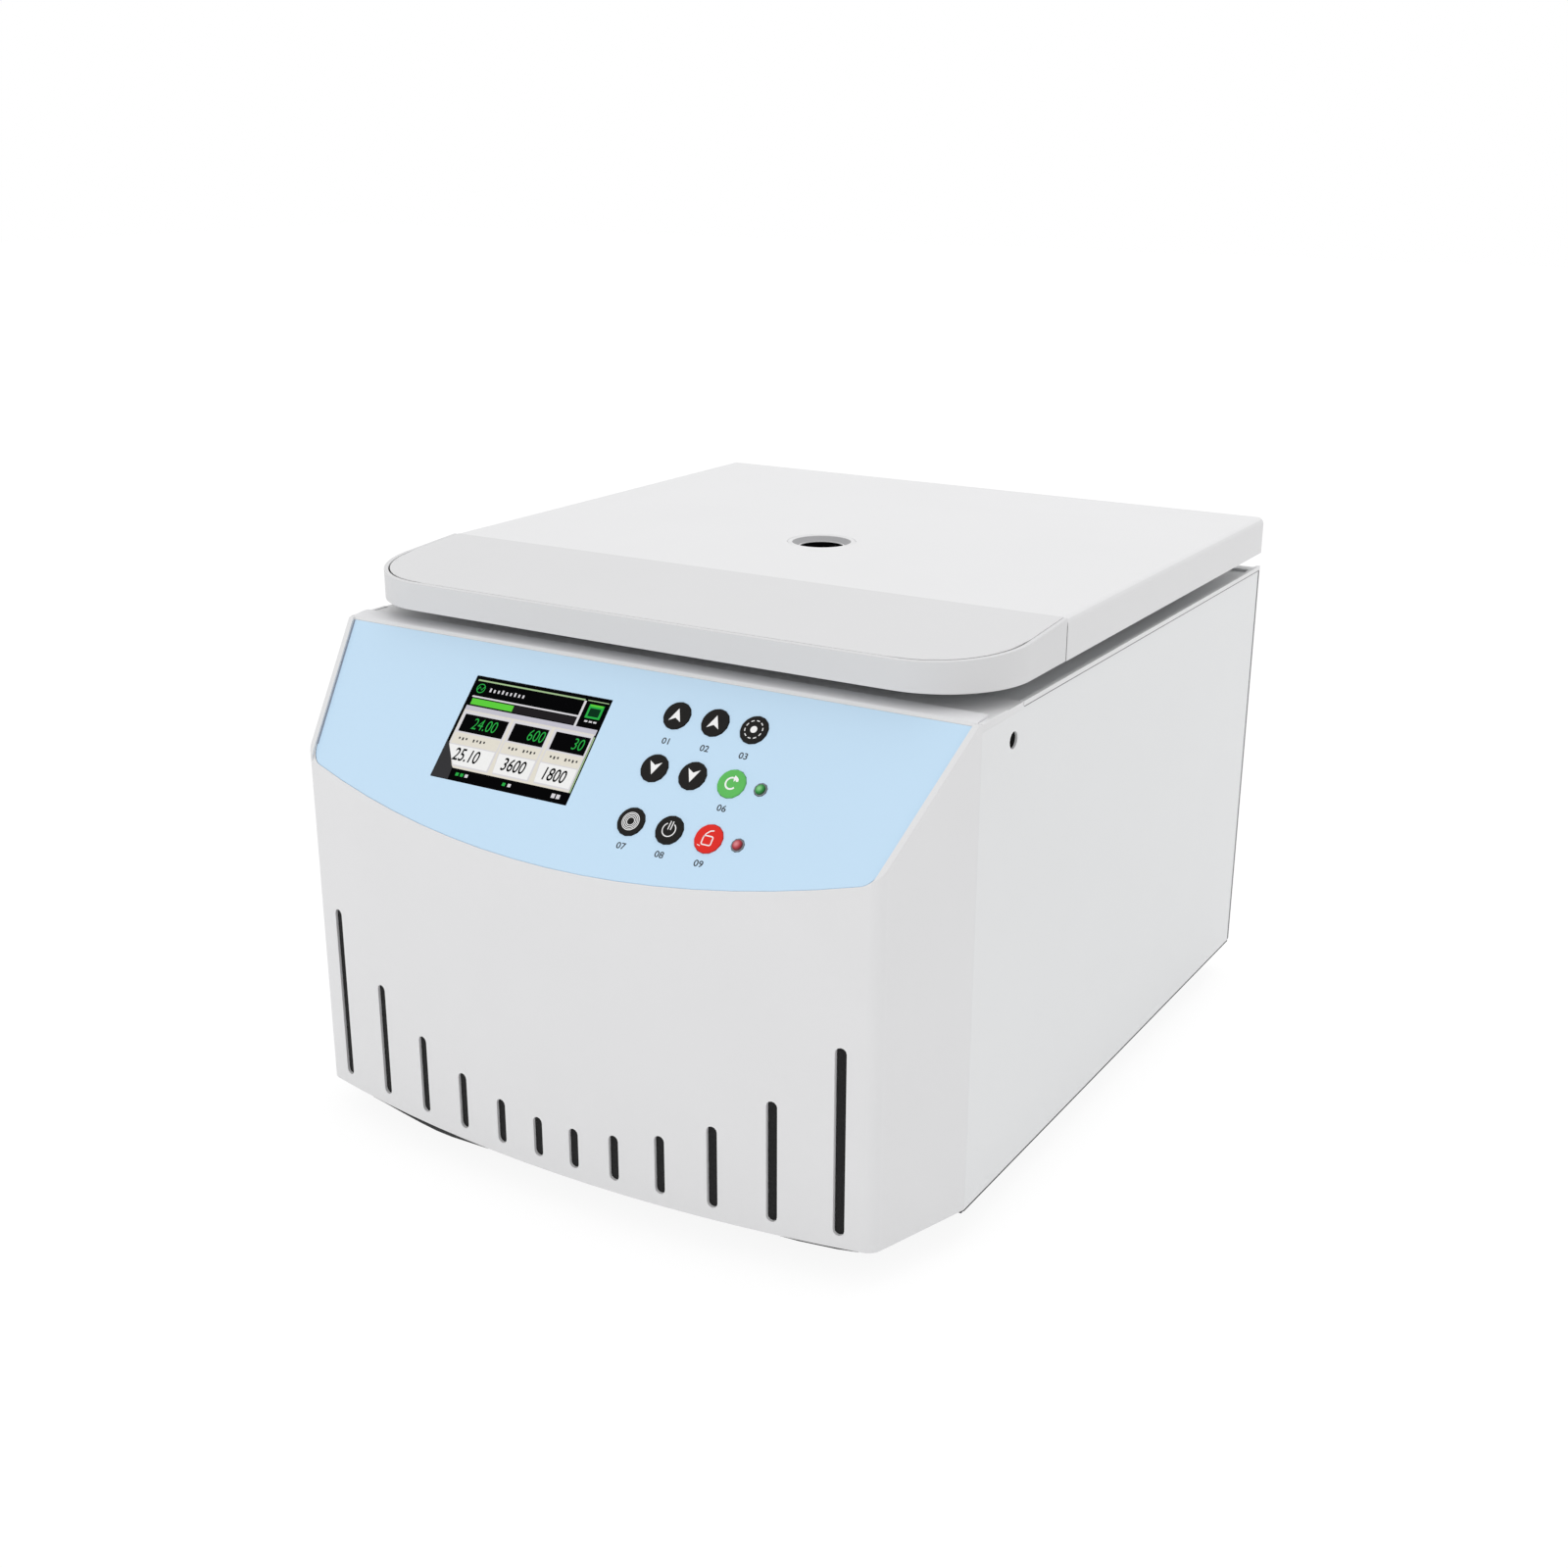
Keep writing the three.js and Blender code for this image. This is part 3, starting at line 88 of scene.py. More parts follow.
# %% [markdown]
# ## Camera
# The camera stands in front of the machine, to the right and a little above it. Its place, turn and
# lens were worked out from the straight edges of the housing, so it is written as plain numbers: a
# heading, a dip below the horizon and a slight roll. The three unit vectors of its view make the
# rotation matrix, which avoids the traps of stacked Euler turns.

# %% Camera
CAMERA_PLACE = Vector((564.8, -940.3, 544.1)) * MM
CAMERA_HEADING = math.radians(-31.363)
CAMERA_DIP = math.radians(18.945)
CAMERA_ROLL = math.radians(0.162)
CAMERA_LENS = 43.687

ahead = Vector((
    math.sin(CAMERA_HEADING) * math.cos(CAMERA_DIP),
    math.cos(CAMERA_HEADING) * math.cos(CAMERA_DIP),
    -math.sin(CAMERA_DIP),
))
level = Vector((math.cos(CAMERA_HEADING), -math.sin(CAMERA_HEADING), 0))
upright = level.cross(ahead)
right = level * math.cos(CAMERA_ROLL) + upright * math.sin(CAMERA_ROLL)
above = upright * math.cos(CAMERA_ROLL) - level * math.sin(CAMERA_ROLL)

camera_data = bpy.data.cameras.new("camera")
camera_data.sensor_width = 36
camera_data.lens = CAMERA_LENS
camera_data.clip_start = 0.05
camera_data.clip_end = 50
camera = bpy.data.objects.new("camera", camera_data)
turn = Matrix((right, above, -ahead)).transposed()
camera.matrix_world = Matrix.Translation(CAMERA_PLACE) @ turn.to_4x4()
scene.collection.objects.link(camera)
scene.camera = camera
print("camera at", tuple(round(value, 3) for value in CAMERA_PLACE))

# %% [markdown]
# ## Colours and plain materials
# Colours are given in the usual screen values from 0 to 255, but the shader works in linear light, so each
# one is converted. A helper makes a material with its shader's own sockets set, and others add what a
# single flat colour lacks: a faint mottle in the colour, a fine grain in the surface, or the fine lines
# that brushing leaves. They all read Object coordinates, which stay with the piece.

# %% Material helpers
def linear(red, green, blue):
    """Screen values from 0 to 255 as linear light, with full alpha."""
    shares = [value / 255 for value in (red, green, blue)]
    light = [s / 12.92 if s <= 0.04045 else ((s + 0.055) / 1.055) ** 2.4 for s in shares]
    return (*light, 1)


def add(tree, kind, inputs=None, **settings):
    """A node with its settings made and its inputs set or linked."""
    made = tree.nodes.new(kind)
    for setting, value in settings.items():
        setattr(made, setting, value)
    for socket, value in (inputs or {}).items():
        value = getattr(value, "socket", value)
        if isinstance(value, bpy.types.NodeSocket):
            tree.links.new(value, made.inputs[socket])
        else:
            made.inputs[socket].default_value = value
    return made


def shader_of(made):
    return made.node_tree.nodes["Principled BSDF"]


def material(name, colour, roughness, drift=(), sheen=(), bumps=(), **sockets):
    """A look with a mottle, a wandering sheen and a grain, where their values are given."""
    made = bpy.data.materials.new(name)
    made.use_nodes = True
    made.diffuse_color = linear(*colour)
    sockets = {"Base_Color": linear(*colour), "Roughness": roughness, **sockets}
    for socket, value in sockets.items():
        shader_of(made).inputs[socket.replace("_", " ")].default_value = value
    if drift:
        mottle(made, *drift)
    if sheen:
        sheen_drift(made, *sheen)
    if bumps:
        grain(made, *bumps)
    return made


def object_noise(tree, scale, detail=2, stretch=(1, 1, 1)):
    """Noise that stays on the piece; stretch squeezes its grain along an axis."""
    place = add(tree, "ShaderNodeTexCoord").outputs["Object"]
    moved = add(tree, "ShaderNodeMapping", {"Vector": place, "Scale": stretch})
    vector = moved.outputs["Vector"]
    return add(tree, "ShaderNodeTexNoise", {"Vector": vector, "Scale": scale, "Detail": detail})


def mottle(made, scale, depth, socket="Base Color"):
    """Lets the colour drift a little either side of its own value."""
    tree = made.node_tree
    target = shader_of(made).inputs[socket]
    base = target.default_value[:3]
    drift = add(tree, "ShaderNodeMix", data_type="RGBA")
    colours = [item for item in drift.inputs if item.type == "RGBA"]
    colours[0].default_value = (*[value * (1 - depth) for value in base], 1)
    colours[1].default_value = (*[min(1, value * (1 + depth)) for value in base], 1)
    noise = object_noise(tree, scale)
    tree.links.new(noise.outputs["Fac"], drift.inputs[0])
    mixed = next(item for item in drift.outputs if item.type == "RGBA")
    tree.links.new(mixed, target)


def sheen_drift(made, scale, low, high, stretch=(1, 1, 1)):
    """Lets the roughness wander between two values."""
    tree = made.node_tree
    noise = object_noise(tree, scale, stretch=stretch)
    span = add(tree, "ShaderNodeMapRange", {
        "Value": noise.outputs["Fac"], "To Min": low, "To Max": high,
    })
    tree.links.new(span.outputs["Result"], shader_of(made).inputs["Roughness"])


def grain(made, scale, height, detail=2, stretch=(1, 1, 1)):
    """A fine surface grain of that height in metres."""
    tree = made.node_tree
    noise = object_noise(tree, scale, detail, stretch)
    bump = add(tree, "ShaderNodeBump", {"Height": noise.outputs["Fac"], "Distance": height})
    tree.links.new(bump.outputs["Normal"], shader_of(made).inputs["Normal"])


def turned(made, centre, lines, height, low, high):
    """The fine rings that turning or polishing leaves round an upright axis."""
    tree = made.node_tree
    place = add(tree, "ShaderNodeTexCoord").outputs["Object"]
    moved = add(tree, "ShaderNodeMapping", {"Vector": place, "Location": [-value for value in centre]})
    split = add(tree, "ShaderNodeSeparateXYZ", {"Vector": moved.outputs["Vector"]}).outputs
    flat = add(tree, "ShaderNodeCombineXYZ", {"X": split["X"], "Y": split["Y"]}).outputs[0]
    reach = add(tree, "ShaderNodeVectorMath", {0: flat}, operation="LENGTH").outputs["Value"]
    ring = add(tree, "ShaderNodeCombineXYZ", {"X": reach, "Z": split["Z"]}).outputs[0]
    noise = add(tree, "ShaderNodeTexNoise", {"Vector": ring, "Scale": lines, "Detail": 4}).outputs["Fac"]
    bump = add(tree, "ShaderNodeBump", {"Height": noise, "Distance": height})
    tree.links.new(bump.outputs["Normal"], shader_of(made).inputs["Normal"])
    span = add(tree, "ShaderNodeMapRange", {"Value": noise, "To Min": low, "To Max": high})
    tree.links.new(span.outputs["Result"], shader_of(made).inputs["Roughness"])


# %% [markdown]
# ## The finishes
# The walls and the rear of the lid are sheet steel with an off-white powder coat: satin, with the faint
# orange peel that such a coat cures to. The front and the lid's rim are mouldings of nearly the same
# colour with a finer, drier grain. The rim is a touch greyer, as the two materials never match exactly.
# The lid's sloped front is greyer too, partly as painted shade, and its upright sides get a greyer copy of
# the coat as painted shade. Inside there is brushed stainless steel, turned aluminium, zinc plate and
# black rubber. The metals carry the fine lines of how they were made, which is what tells brushed from
# turned from plated.

# %% Finishes
AXIS = middle_of("chamber_bowl")
AXIS.z = 0

powder_coat = material("powder_coat", (228, 229, 230), 0.42, drift=(14, 0.012), bumps=(850, 0.00003))
lid_coat = material("lid_coat", (229, 229, 230), 0.42, drift=(14, 0.012), bumps=(850, 0.00003))
# The lid's upright sides get this greyer copy of the lid's coat: painted shade.
lid_side = material("lid_side", (221, 221, 222), 0.42, drift=(14, 0.012), bumps=(850, 0.00003))
# The sloped front skin: the moulding's drier finish, in a tone darkened partly as painted shade.
lid_skin = material("lid_skin", (219, 219, 220), 0.48, drift=(14, 0.012), bumps=(1600, 0.00002, 3))
front_moulding = material(
    "front_moulding", (228, 228, 229), 0.5, drift=(18, 0.015), bumps=(2200, 0.000015, 4),
)
rim_moulding = material(
    "rim_moulding", (217, 217, 218), 0.5, drift=(18, 0.012), bumps=(2200, 0.000015, 4),
)
dark_paint = material("dark_paint", (62, 64, 68), 0.55, drift=(40, 0.08), bumps=(900, 0.00004))
black_rubber = material("black_rubber", (34, 35, 36), 0.8, drift=(60, 0.12), bumps=(1500, 0.00004, 4))
black_plastic = material(
    "black_plastic", (34, 35, 36), 0.45, sheen=(50, 0.38, 0.52), bumps=(1800, 0.00002, 3),
)
# Near-black foam behind the vent slots: painted shade inside the housing.
filter_foam = material("filter_foam", (20, 20, 21), 0.95, drift=(500, 0.4), bumps=(700, 0.0004, 3))
stainless = material("stainless", (200, 202, 204), 0.28, Metallic=1)
turned(stainless, AXIS, 900, 0.000012, 0.22, 0.36)
brushed_sheet = material(
    "brushed_sheet", (196, 198, 200), 0.34, Metallic=1,
    sheen=(30, 0.28, 0.42, (1, 40, 40)), bumps=(60, 0.00001, 4, (1, 40, 40)),
)
turned_aluminium = material("turned_aluminium", (206, 208, 210), 0.36, Metallic=1)
turned(turned_aluminium, AXIS, 700, 0.00001, 0.3, 0.44)
bucket_steel = material(
    "bucket_steel", (190, 193, 196), 0.3, Metallic=1,
    sheen=(20, 0.24, 0.4, (1, 1, 60)), bumps=(60, 0.00001, 4, (1, 1, 60)),
)
zinc_plate = material(
    "zinc_plate", (176, 180, 183), 0.42, Metallic=1, drift=(90, 0.1), sheen=(70, 0.32, 0.55),
)
polished_steel = material("polished_steel", (214, 215, 216), 0.18, Metallic=1, sheen=(120, 0.14, 0.26))
smoked_window = material("smoked_window", (14, 14, 15), 0.4, Specular_IOR_Level=0, drift=(40, 0.1))
circuit_green = material("circuit_green", (28, 92, 52), 0.45, drift=(160, 0.25))
print("finishes:", len(bpy.data.materials))

# %% [markdown]
# ## Meshes
# The frame's solids are faceted triangles with knife edges. A real sheet or moulding has a small
# round on every edge, and that thin bright line is most of what makes a pale object readable. So
# each rigid piece that isn't turned gets a merged copy: coincident corners are welded, flat
# triangles are dissolved into whole faces, and a bevel rounds the outward edges. Faces that meet at
# a small angle are shaded smooth, except where both are broad, as at the bend of the lid.

# %% Mesh helpers
WELD = 0.02 * MM


def piece(name, mesh, body, slot, *replaced):
    """Puts a finished mesh into the scene, on a body, in place of the nodes named."""
    made = bpy.data.objects.new(name, mesh)
    scene.collection.objects.link(made)
    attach(made, body)
    if replaced:
        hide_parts(*replaced)
    return made


def bevelled(bm, edges, reach, steps=2):
    """Rounds some edges of a bmesh."""
    bmesh.ops.bevel(
        bm, geom=edges, offset=reach, offset_type="OFFSET", segments=steps, profile=0.5,
        affect="EDGES", clamp_overlap=True,
    )


def crisp(mesh, angle=38, broad=None):
    """Smooth shading, sharp at steep edges and at slight ones between two broad faces."""
    mesh.shade_smooth()
    mesh.set_sharp_from_angle(angle=math.radians(angle))
    if broad is None:
        return mesh
    bm = bmesh.new()
    bm.from_mesh(mesh)
    for edge in bm.edges:
        faces = edge.link_faces
        if len(faces) == 2 and min(face.calc_area() for face in faces) > broad:
            if edge.calc_face_angle() > math.radians(1):
                edge.smooth = False
    bm.to_mesh(mesh)
    bm.free()
    return mesh


def rounded_copy(node, edge=0.4, steps=2, sharp=38, broad=None):
    """A welded copy of a node's mesh with its outward edges rounded, edge in millimetres."""
    bm = bmesh.new()
    bm.from_mesh(nodes[node].data)
    bmesh.ops.remove_doubles(bm, verts=bm.verts, dist=WELD)
    bmesh.ops.dissolve_degenerate(bm, edges=bm.edges, dist=WELD)
    bmesh.ops.dissolve_limit(bm, angle_limit=math.radians(0.3), verts=bm.verts, edges=bm.edges)
    outward = [
        e for e in bm.edges
        if e.is_manifold and e.is_convex and e.calc_face_angle() > math.radians(sharp)
    ]
    bevelled(bm, outward, edge * MM, steps)
    mesh = bpy.data.meshes.new(node)
    bm.to_mesh(mesh)
    bm.free()
    mesh.materials.clear()
    return crisp(mesh, angle=32, broad=broad)


def weighted(made):
    """Normals that follow the broad faces, so that they stay flat beside a small round."""
    modifier = made.modifiers.new("weighted_normals", "WEIGHTED_NORMAL")
    modifier.keep_sharp = True
    return made


def fine(node, look, edge=0.4, **options):
    """The rounded copy of a node as a piece of its own, in the node's place."""
    mesh = rounded_copy(node, edge, **options)
    mesh.materials.append(look)
    return weighted(piece(f"{node}_fine", mesh, body_of[node], slot_of[node], node))


# %% [markdown]
# ## Turned pieces
# Many parts of a machine are round: feet, keys, cups, bearings, rings. All of these are one outline
# turned about an axis. The frame's own outline is read back from one slice of its solid, its
# corners are eased, and it is turned again in many fine steps, so that it stays round at any
# distance. Blender's Screw modifier does the same, but here the outline has to be found first.

# %% Turning helpers
FINE_TURN = 96
SMALL_TURN = 48
EASE_STEPS = 3
EASE_BEND = math.radians(14)
EASE_SHARE = 0.45
IN_MM = Matrix.Scale(MM, 4)


def slice_of(node, axes):
    """The outline of a turned solid on one side of its axis: (radius, height) points in metres."""
    bm = bmesh.new()
    bm.from_mesh(nodes[node].data)
    bmesh.ops.remove_doubles(bm, verts=bm.verts, dist=WELD)
    bm.transform(axes.inverted())
    side = max((v.co.xy for v in bm.verts), key=lambda flat: flat.length).normalized()
    near = 0.05 * MM
    chosen = {
        v for v in bm.verts
        if abs(v.co.xy.cross(side)) < near and v.co.xy.dot(side) > -near
    }
    links = {v: [] for v in chosen}
    for e in bm.edges:
        a, b = e.verts
        if a in chosen and b in chosen:
            links[a].append(b)
            links[b].append(a)
    ends = [v for v in chosen if v.co.xy.length < near and len(links[v]) == 1]
    here = ends[0] if ends else next(iter(chosen))
    chain = [here]
    while True:
        onward = [v for v in links[here] if v not in chain]
        if not onward:
            break
        here = onward[0]
        chain.append(here)
    outline = [Vector((max(0, v.co.xy.dot(side)), v.co.z)) for v in chain]
    bm.free()
    return outline, not ends


def eased(outline, radius, closed):
    """Rounds the corners of an outline."""
    result = []
    count = len(outline)
    for i, corner in enumerate(outline):
        if not closed and i in (0, count - 1):
            result.append(corner)
            continue
        back = outline[i - 1] - corner
        onward = outline[(i + 1) % count] - corner
        bend = math.pi - back.angle(onward)
        if bend < EASE_BEND:
            result.append(corner)
            continue
        reach = min(radius * math.tan(bend / 2), EASE_SHARE * back.length, EASE_SHARE * onward.length)
        start = corner + back.normalized() * reach
        end = corner + onward.normalized() * reach
        for k in range(EASE_STEPS + 1):
            t = k / EASE_STEPS
            result.append(start * (1 - t) ** 2 + corner * 2 * t * (1 - t) + end * t ** 2)
    return result


def bridged(bm, rings, closed=False):
    """Faces between each ring of corners and the next, and from the last to the first if closed."""
    pairs = list(zip(rings, rings[1:]))
    if closed:
        pairs.append((rings[-1], rings[0]))
    faces = []
    for here, onward in pairs:
        for k in range(len(here)):
            n = (k + 1) % len(here)
            corners = list(dict.fromkeys((here[k], here[n], onward[n], onward[k])))
            if len(corners) > 2:
                faces.append(bm.faces.new(corners))
    return faces


def capped(bm, rings):
    """Bridged rings with both ends filled."""
    return [*bridged(bm, rings), bm.faces.new(rings[0]), bm.faces.new(reversed(rings[-1]))]


def spun(bm, outline, closed, steps, axes):
    """Turns an outline about the Z axis of a frame of its own and adds it to a mesh."""
    rings = []
    for point in outline:
        if point.x < 1e-6:
            rings.append([bm.verts.new(axes @ Vector((0, 0, point.y)))] * steps)
            continue
        ring = []
        for k in range(steps):
            angle = 2 * math.pi * k / steps
            ring.append(bm.verts.new(axes @ Vector((
                point.x * math.cos(angle), point.x * math.sin(angle), point.y,
            ))))
        rings.append(ring)
    bmesh.ops.recalc_face_normals(bm, faces=bridged(bm, rings, closed))


def finished(bm, name, look, angle=38):
    """Turns a bmesh into a mesh with one look and crisp shading."""
    mesh = bpy.data.meshes.new(name)
    bm.to_mesh(mesh)
    bm.free()
    mesh.materials.append(look)
    return crisp(mesh, angle)


def built(bm, name, look, body, slot, axes=IN_MM, angle=38):
    """Places a bmesh, drawn in millimetres unless its axes are given, and makes it a piece."""
    bm.transform(axes)
    return piece(name, finished(bm, name, look, angle), body, slot)


def upright_axes(node):
    return Matrix.Translation((*middle_of(node).xy, 0))


def sideways_axes(node):
    middle = middle_of(node)
    return Matrix.Translation((0, middle.y, middle.z)) @ Matrix.Rotation(math.pi / 2, 4, "Y")


def turned_piece(node, look, ease=0.4, steps=SMALL_TURN, axes=None):
    """A node of one turned outline, made again in fine steps with eased corners."""
    axes = axes or upright_axes(node)
    outline, closed = slice_of(node, axes)
    bm = bmesh.new()
    spun(bm, eased(outline, ease * MM, closed), closed, steps, axes)
    mesh = finished(bm, node, look)
    return weighted(piece(f"{node}_turned", mesh, body_of[node], slot_of[node], node))


# %% [markdown]
# ## Flat shapes
# Hoods, bars, signs and tiles are all flat outlines with a thickness. A full one is a slab, a hollow
# one is a band between two lines of points, and a stroke is a band along a line. The matrix ALONG_X
# turns a section drawn in y and z so that its thickness runs along x.

# %% Flat shape helpers
QUARTER_STEPS = 8
ALONG_X = Matrix(((0, 0, 1, 0), (1, 0, 0, 0), (0, 1, 0, 0), (0, 0, 0, 1)))


def arc(radius, start, end, steps, centre=(0, 0)):
    """Points on an arc, with its angles in degrees."""
    result = []
    for k in range(steps + 1):
        angle = math.radians(start + (end - start) * k / steps)
        result.append((centre[0] + radius * math.cos(angle), centre[1] + radius * math.sin(angle)))
    return result


def add_band(bm, inner, outer, low, high, closed=False):
    """A closed strip between two lines of points that run side by side."""
    stations = []
    for a, b in zip(inner, outer):
        corners = ((*a, low), (*b, low), (*b, high), (*a, high))
        stations.append([bm.verts.new(corner) for corner in corners])
    faces = bridged(bm, stations, True) if closed else capped(bm, stations)
    bmesh.ops.recalc_face_normals(bm, faces=faces)


def add_slab(bm, outline, low, high):
    """A closed prism on a flat outline."""
    bottom = [bm.verts.new((x, y, low)) for x, y in outline]
    top = [bm.verts.new((x, y, high)) for x, y in outline]
    faces = [bm.faces.new(top), bm.faces.new(reversed(bottom))]
    for k in range(len(outline)):
        n = (k + 1) % len(outline)
        faces.append(bm.faces.new((bottom[k], bottom[n], top[n], top[k])))
    bmesh.ops.recalc_face_normals(bm, faces=faces)


def stroke(bm, points, width, low, high, closed=False):
    """A line of that width along points."""
    inner, outer = [], []
    count = len(points)
    for k, point in enumerate(points):
        before = points[k - 1] if closed or k > 0 else point
        after = points[(k + 1) % count] if closed or k < count - 1 else point
        way = (Vector(after) - Vector(before)).normalized()
        normal = Vector((-way.y, way.x)) * width / 2
        inner.append(tuple(Vector(point) - normal))
        outer.append(tuple(Vector(point) + normal))
    add_band(bm, inner, outer, low, high, closed)


# %% [markdown]
# ## Geometry Nodes
# Vent strips, louvres, screws and ribs repeat by a rule, and the lid's rim follows a path. Geometry
# Nodes suit both: the rule stays readable as a small tree with named sizes. A wrapper lets the
# signs of arithmetic add the Math nodes, so a rule reads as a formula. Each tree gets its values
# through the modifier, is evaluated once, and its result is kept as a plain mesh.

# %% Geometry Nodes helpers
SOCKET_KINDS = {int: "NodeSocketInt", float: "NodeSocketFloat"}


def math_of(operation, *values):
    """A Math node that works on flows and plain numbers."""
    tree = next(value.socket.id_data for value in values if isinstance(value, Flow))
    return flow(tree, "ShaderNodeMath", dict(enumerate(values)), operation=operation)


class Flow:
    """What comes out of a node. The signs of arithmetic add the Math nodes that they stand for."""

    def __init__(self, socket):
        self.socket = socket

    def __add__(self, other):
        return math_of("ADD", self, other)

    def __sub__(self, other):
        return math_of("SUBTRACT", self, other)

    def __mul__(self, other):
        return math_of("MULTIPLY", self, other)

    def __truediv__(self, other):
        return math_of("DIVIDE", self, other)

    def __rtruediv__(self, other):
        return math_of("DIVIDE", other, self)

    def __mod__(self, other):
        return math_of("MODULO", self, other)

    def __pow__(self, other):
        return math_of("POWER", self, other)

    def __abs__(self):
        return math_of("ABSOLUTE", self)


def flow(tree, kind, inputs=None, output=0, **settings):
    """A new node's output, ready for arithmetic or for the next node."""
    return Flow(add(tree, kind, inputs, **settings).outputs[output])


def xyz(tree, **shares):
    return flow(tree, "ShaderNodeCombineXYZ", shares)


def copies(tree, points, shape, **options):
    return flow(tree, "GeometryNodeInstanceOnPoints", {"Points": points, "Instance": shape, **options})


def row_of(tree, count):
    """As many loose points as asked for, all in one place."""
    return flow(tree, "GeometryNodeMeshLine", {"Count": count, "Offset": (0, 0, 0)})


def moved_to(tree, geometry, **inputs):
    return flow(tree, "GeometryNodeSetPosition", {"Geometry": geometry, **inputs})


def new_tree(name, **sizes):
    """A tree with a Geometry, a Look, an Item and one named input for each size."""
    tree = bpy.data.node_groups.new(name, "GeometryNodeTree")
    face = tree.interface
    face.new_socket(name="Geometry", in_out="INPUT", socket_type="NodeSocketGeometry")
    for label, value in sizes.items():
        kind = SOCKET_KINDS[type(value)]
        socket = face.new_socket(name=label.replace("_", " "), in_out="INPUT", socket_type=kind)
        socket.default_value = value
    face.new_socket(name="Item", in_out="INPUT", socket_type="NodeSocketObject")
    face.new_socket(name="Look", in_out="INPUT", socket_type="NodeSocketMaterial")
    face.new_socket(name="Geometry", in_out="OUTPUT", socket_type="NodeSocketGeometry")
    given = add(tree, "NodeGroupInput").outputs
    return tree, {socket.name: Flow(socket) for socket in given}


def end_tree(tree, geometry, given):
    real = flow(tree, "GeometryNodeRealizeInstances", {"Geometry": geometry})
    dressed = flow(tree, "GeometryNodeSetMaterial", {"Geometry": real, "Material": given["Look"]})
    add(tree, "NodeGroupOutput", {"Geometry": dressed})
    return tree


def grown(name, mesh, tree, look, item=None, **values):
    """Runs a tree on a mesh and gives the result as a plain mesh."""
    holder = bpy.data.objects.new(name, mesh)
    scene.collection.objects.link(holder)
    modifier = holder.modifiers.new(name, "NODES")
    modifier.node_group = tree
    values["Look"] = look
    if item is not None:
        values["Item"] = item
    for entry in tree.interface.items_tree:
        label = entry.name.replace(" ", "_")
        if entry.in_out == "INPUT" and label in values:
            modifier[entry.identifier] = values[label]
    evaluated = holder.evaluated_get(bpy.context.evaluated_depsgraph_get())
    result = bpy.data.meshes.new_from_object(evaluated)
    holder.modifiers.remove(modifier)
    bpy.data.objects.remove(holder)
    return result


def point_mesh(name, points, way):
    """Loose vertices in metres that all face one way."""
    mesh = bpy.data.meshes.new(name)
    mesh.from_pydata(points, [], [])
    facing = mesh.attributes.new("facing", "FLOAT_VECTOR", "POINT")
    facing.data.foreach_set("vector", way * len(points))
    return mesh


# %% [markdown]
# ## Housing
# The housing is a moulded front, two side sheets, a rear sheet and a deck, on a dark base pan with
# four rubber feet. Their shapes are right in the frame, so they keep them and gain rounded edges
# and their finishes. The moulding gets the larger round, because a mould can't make a sharp corner.

# %% Housing
SHEET_EDGE = 0.35
MOULDING_EDGE = 0.5

fine("front_fascia", front_moulding, MOULDING_EDGE)
for hand in ("left", "right"):
    fine(f"side_panel_{hand}", powder_coat, SHEET_EDGE)
fine("rear_panel", powder_coat, SHEET_EDGE)
fine("top_deck", powder_coat, SHEET_EDGE)
fine("base_pan", dark_paint, SHEET_EDGE)
for place in ("front_left", "front_right", "rear_left", "rear_right"):
    turned_piece(f"foot_{place}", black_rubber, 0.9)

# %% [markdown]
# ## Vent strips
# Behind each vent slot lies a near-black strip that stands for the shade inside the housing: painted
# shade, which is why the slots look black. Their pitch widens outwards and their tops follow an arc, as
# the slots do. That is a rule with one number per strip, so a tree works each strip's place and height out
# from its index.

# %% Vent strips
VENT_RULE = {
    "Count": 12, "Pitch": 23.6 * MM, "Growth": 1.19 * MM, "Foot": 25.0 * MM, "Middle_Top": 52.5 * MM,
    "Arc_Radius": 205.0 * MM, "Bow_Radius": 799.0 * MM, "Width": 5.86 * MM, "Thickness": 3.0 * MM,
}
VENT_DEPTH = 3.3 * MM


def sagitta(radius, across):
    """How far a circle's arc has fallen away from its middle at a distance across."""
    return radius - math_of("SQRT", radius ** 2 - across ** 2)


tree, given = new_tree("vent_strips", Front=0.0, **VENT_RULE)
index = flow(tree, "GeometryNodeInputIndex")
offset = index - (given["Count"] - 1) * 0.5
across = offset * (given["Pitch"] + (abs(offset) - 0.5) * given["Growth"])
top = given["Middle Top"] + sagitta(given["Arc Radius"], across)
spot = xyz(
    tree, X=across, Y=given["Front"] + sagitta(given["Bow Radius"], across),
    Z=(top + given["Foot"]) * 0.5,
)
row = moved_to(tree, row_of(tree, given["Count"]), Position=spot)
strip = flow(tree, "GeometryNodeMeshCube", {"Size": (1, 1, 1)})
lean = xyz(tree, Z=math_of("ARCSINE", across / given["Bow Radius"]))
rotation = flow(tree, "FunctionNodeEulerToRotation", {0: lean})
size = xyz(tree, X=given["Width"], Y=given["Thickness"], Z=top - given["Foot"])
end_tree(tree, copies(tree, row, strip, Rotation=rotation, Scale=size), given)

fascia_low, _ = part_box("front_fascia")
strips = grown(
    "vent_strips", bpy.data.meshes.new("empty"), tree, filter_foam,
    Front=fascia_low.y + VENT_DEPTH, **VENT_RULE,
)
piece("vent_filters", strips, "base", "rubber")
print("vent strips:", len(strips.polygons) // 6)

# %% [markdown]
# ## Louvres
# The rear sheet has two columns of nine slots. On the real machine a tool presses the sheet above
# each slot outwards into a small hood, so that spills can't run in. One hood is built by hand from a
# quarter round with closed ends, and a tree repeats it in rows and columns.

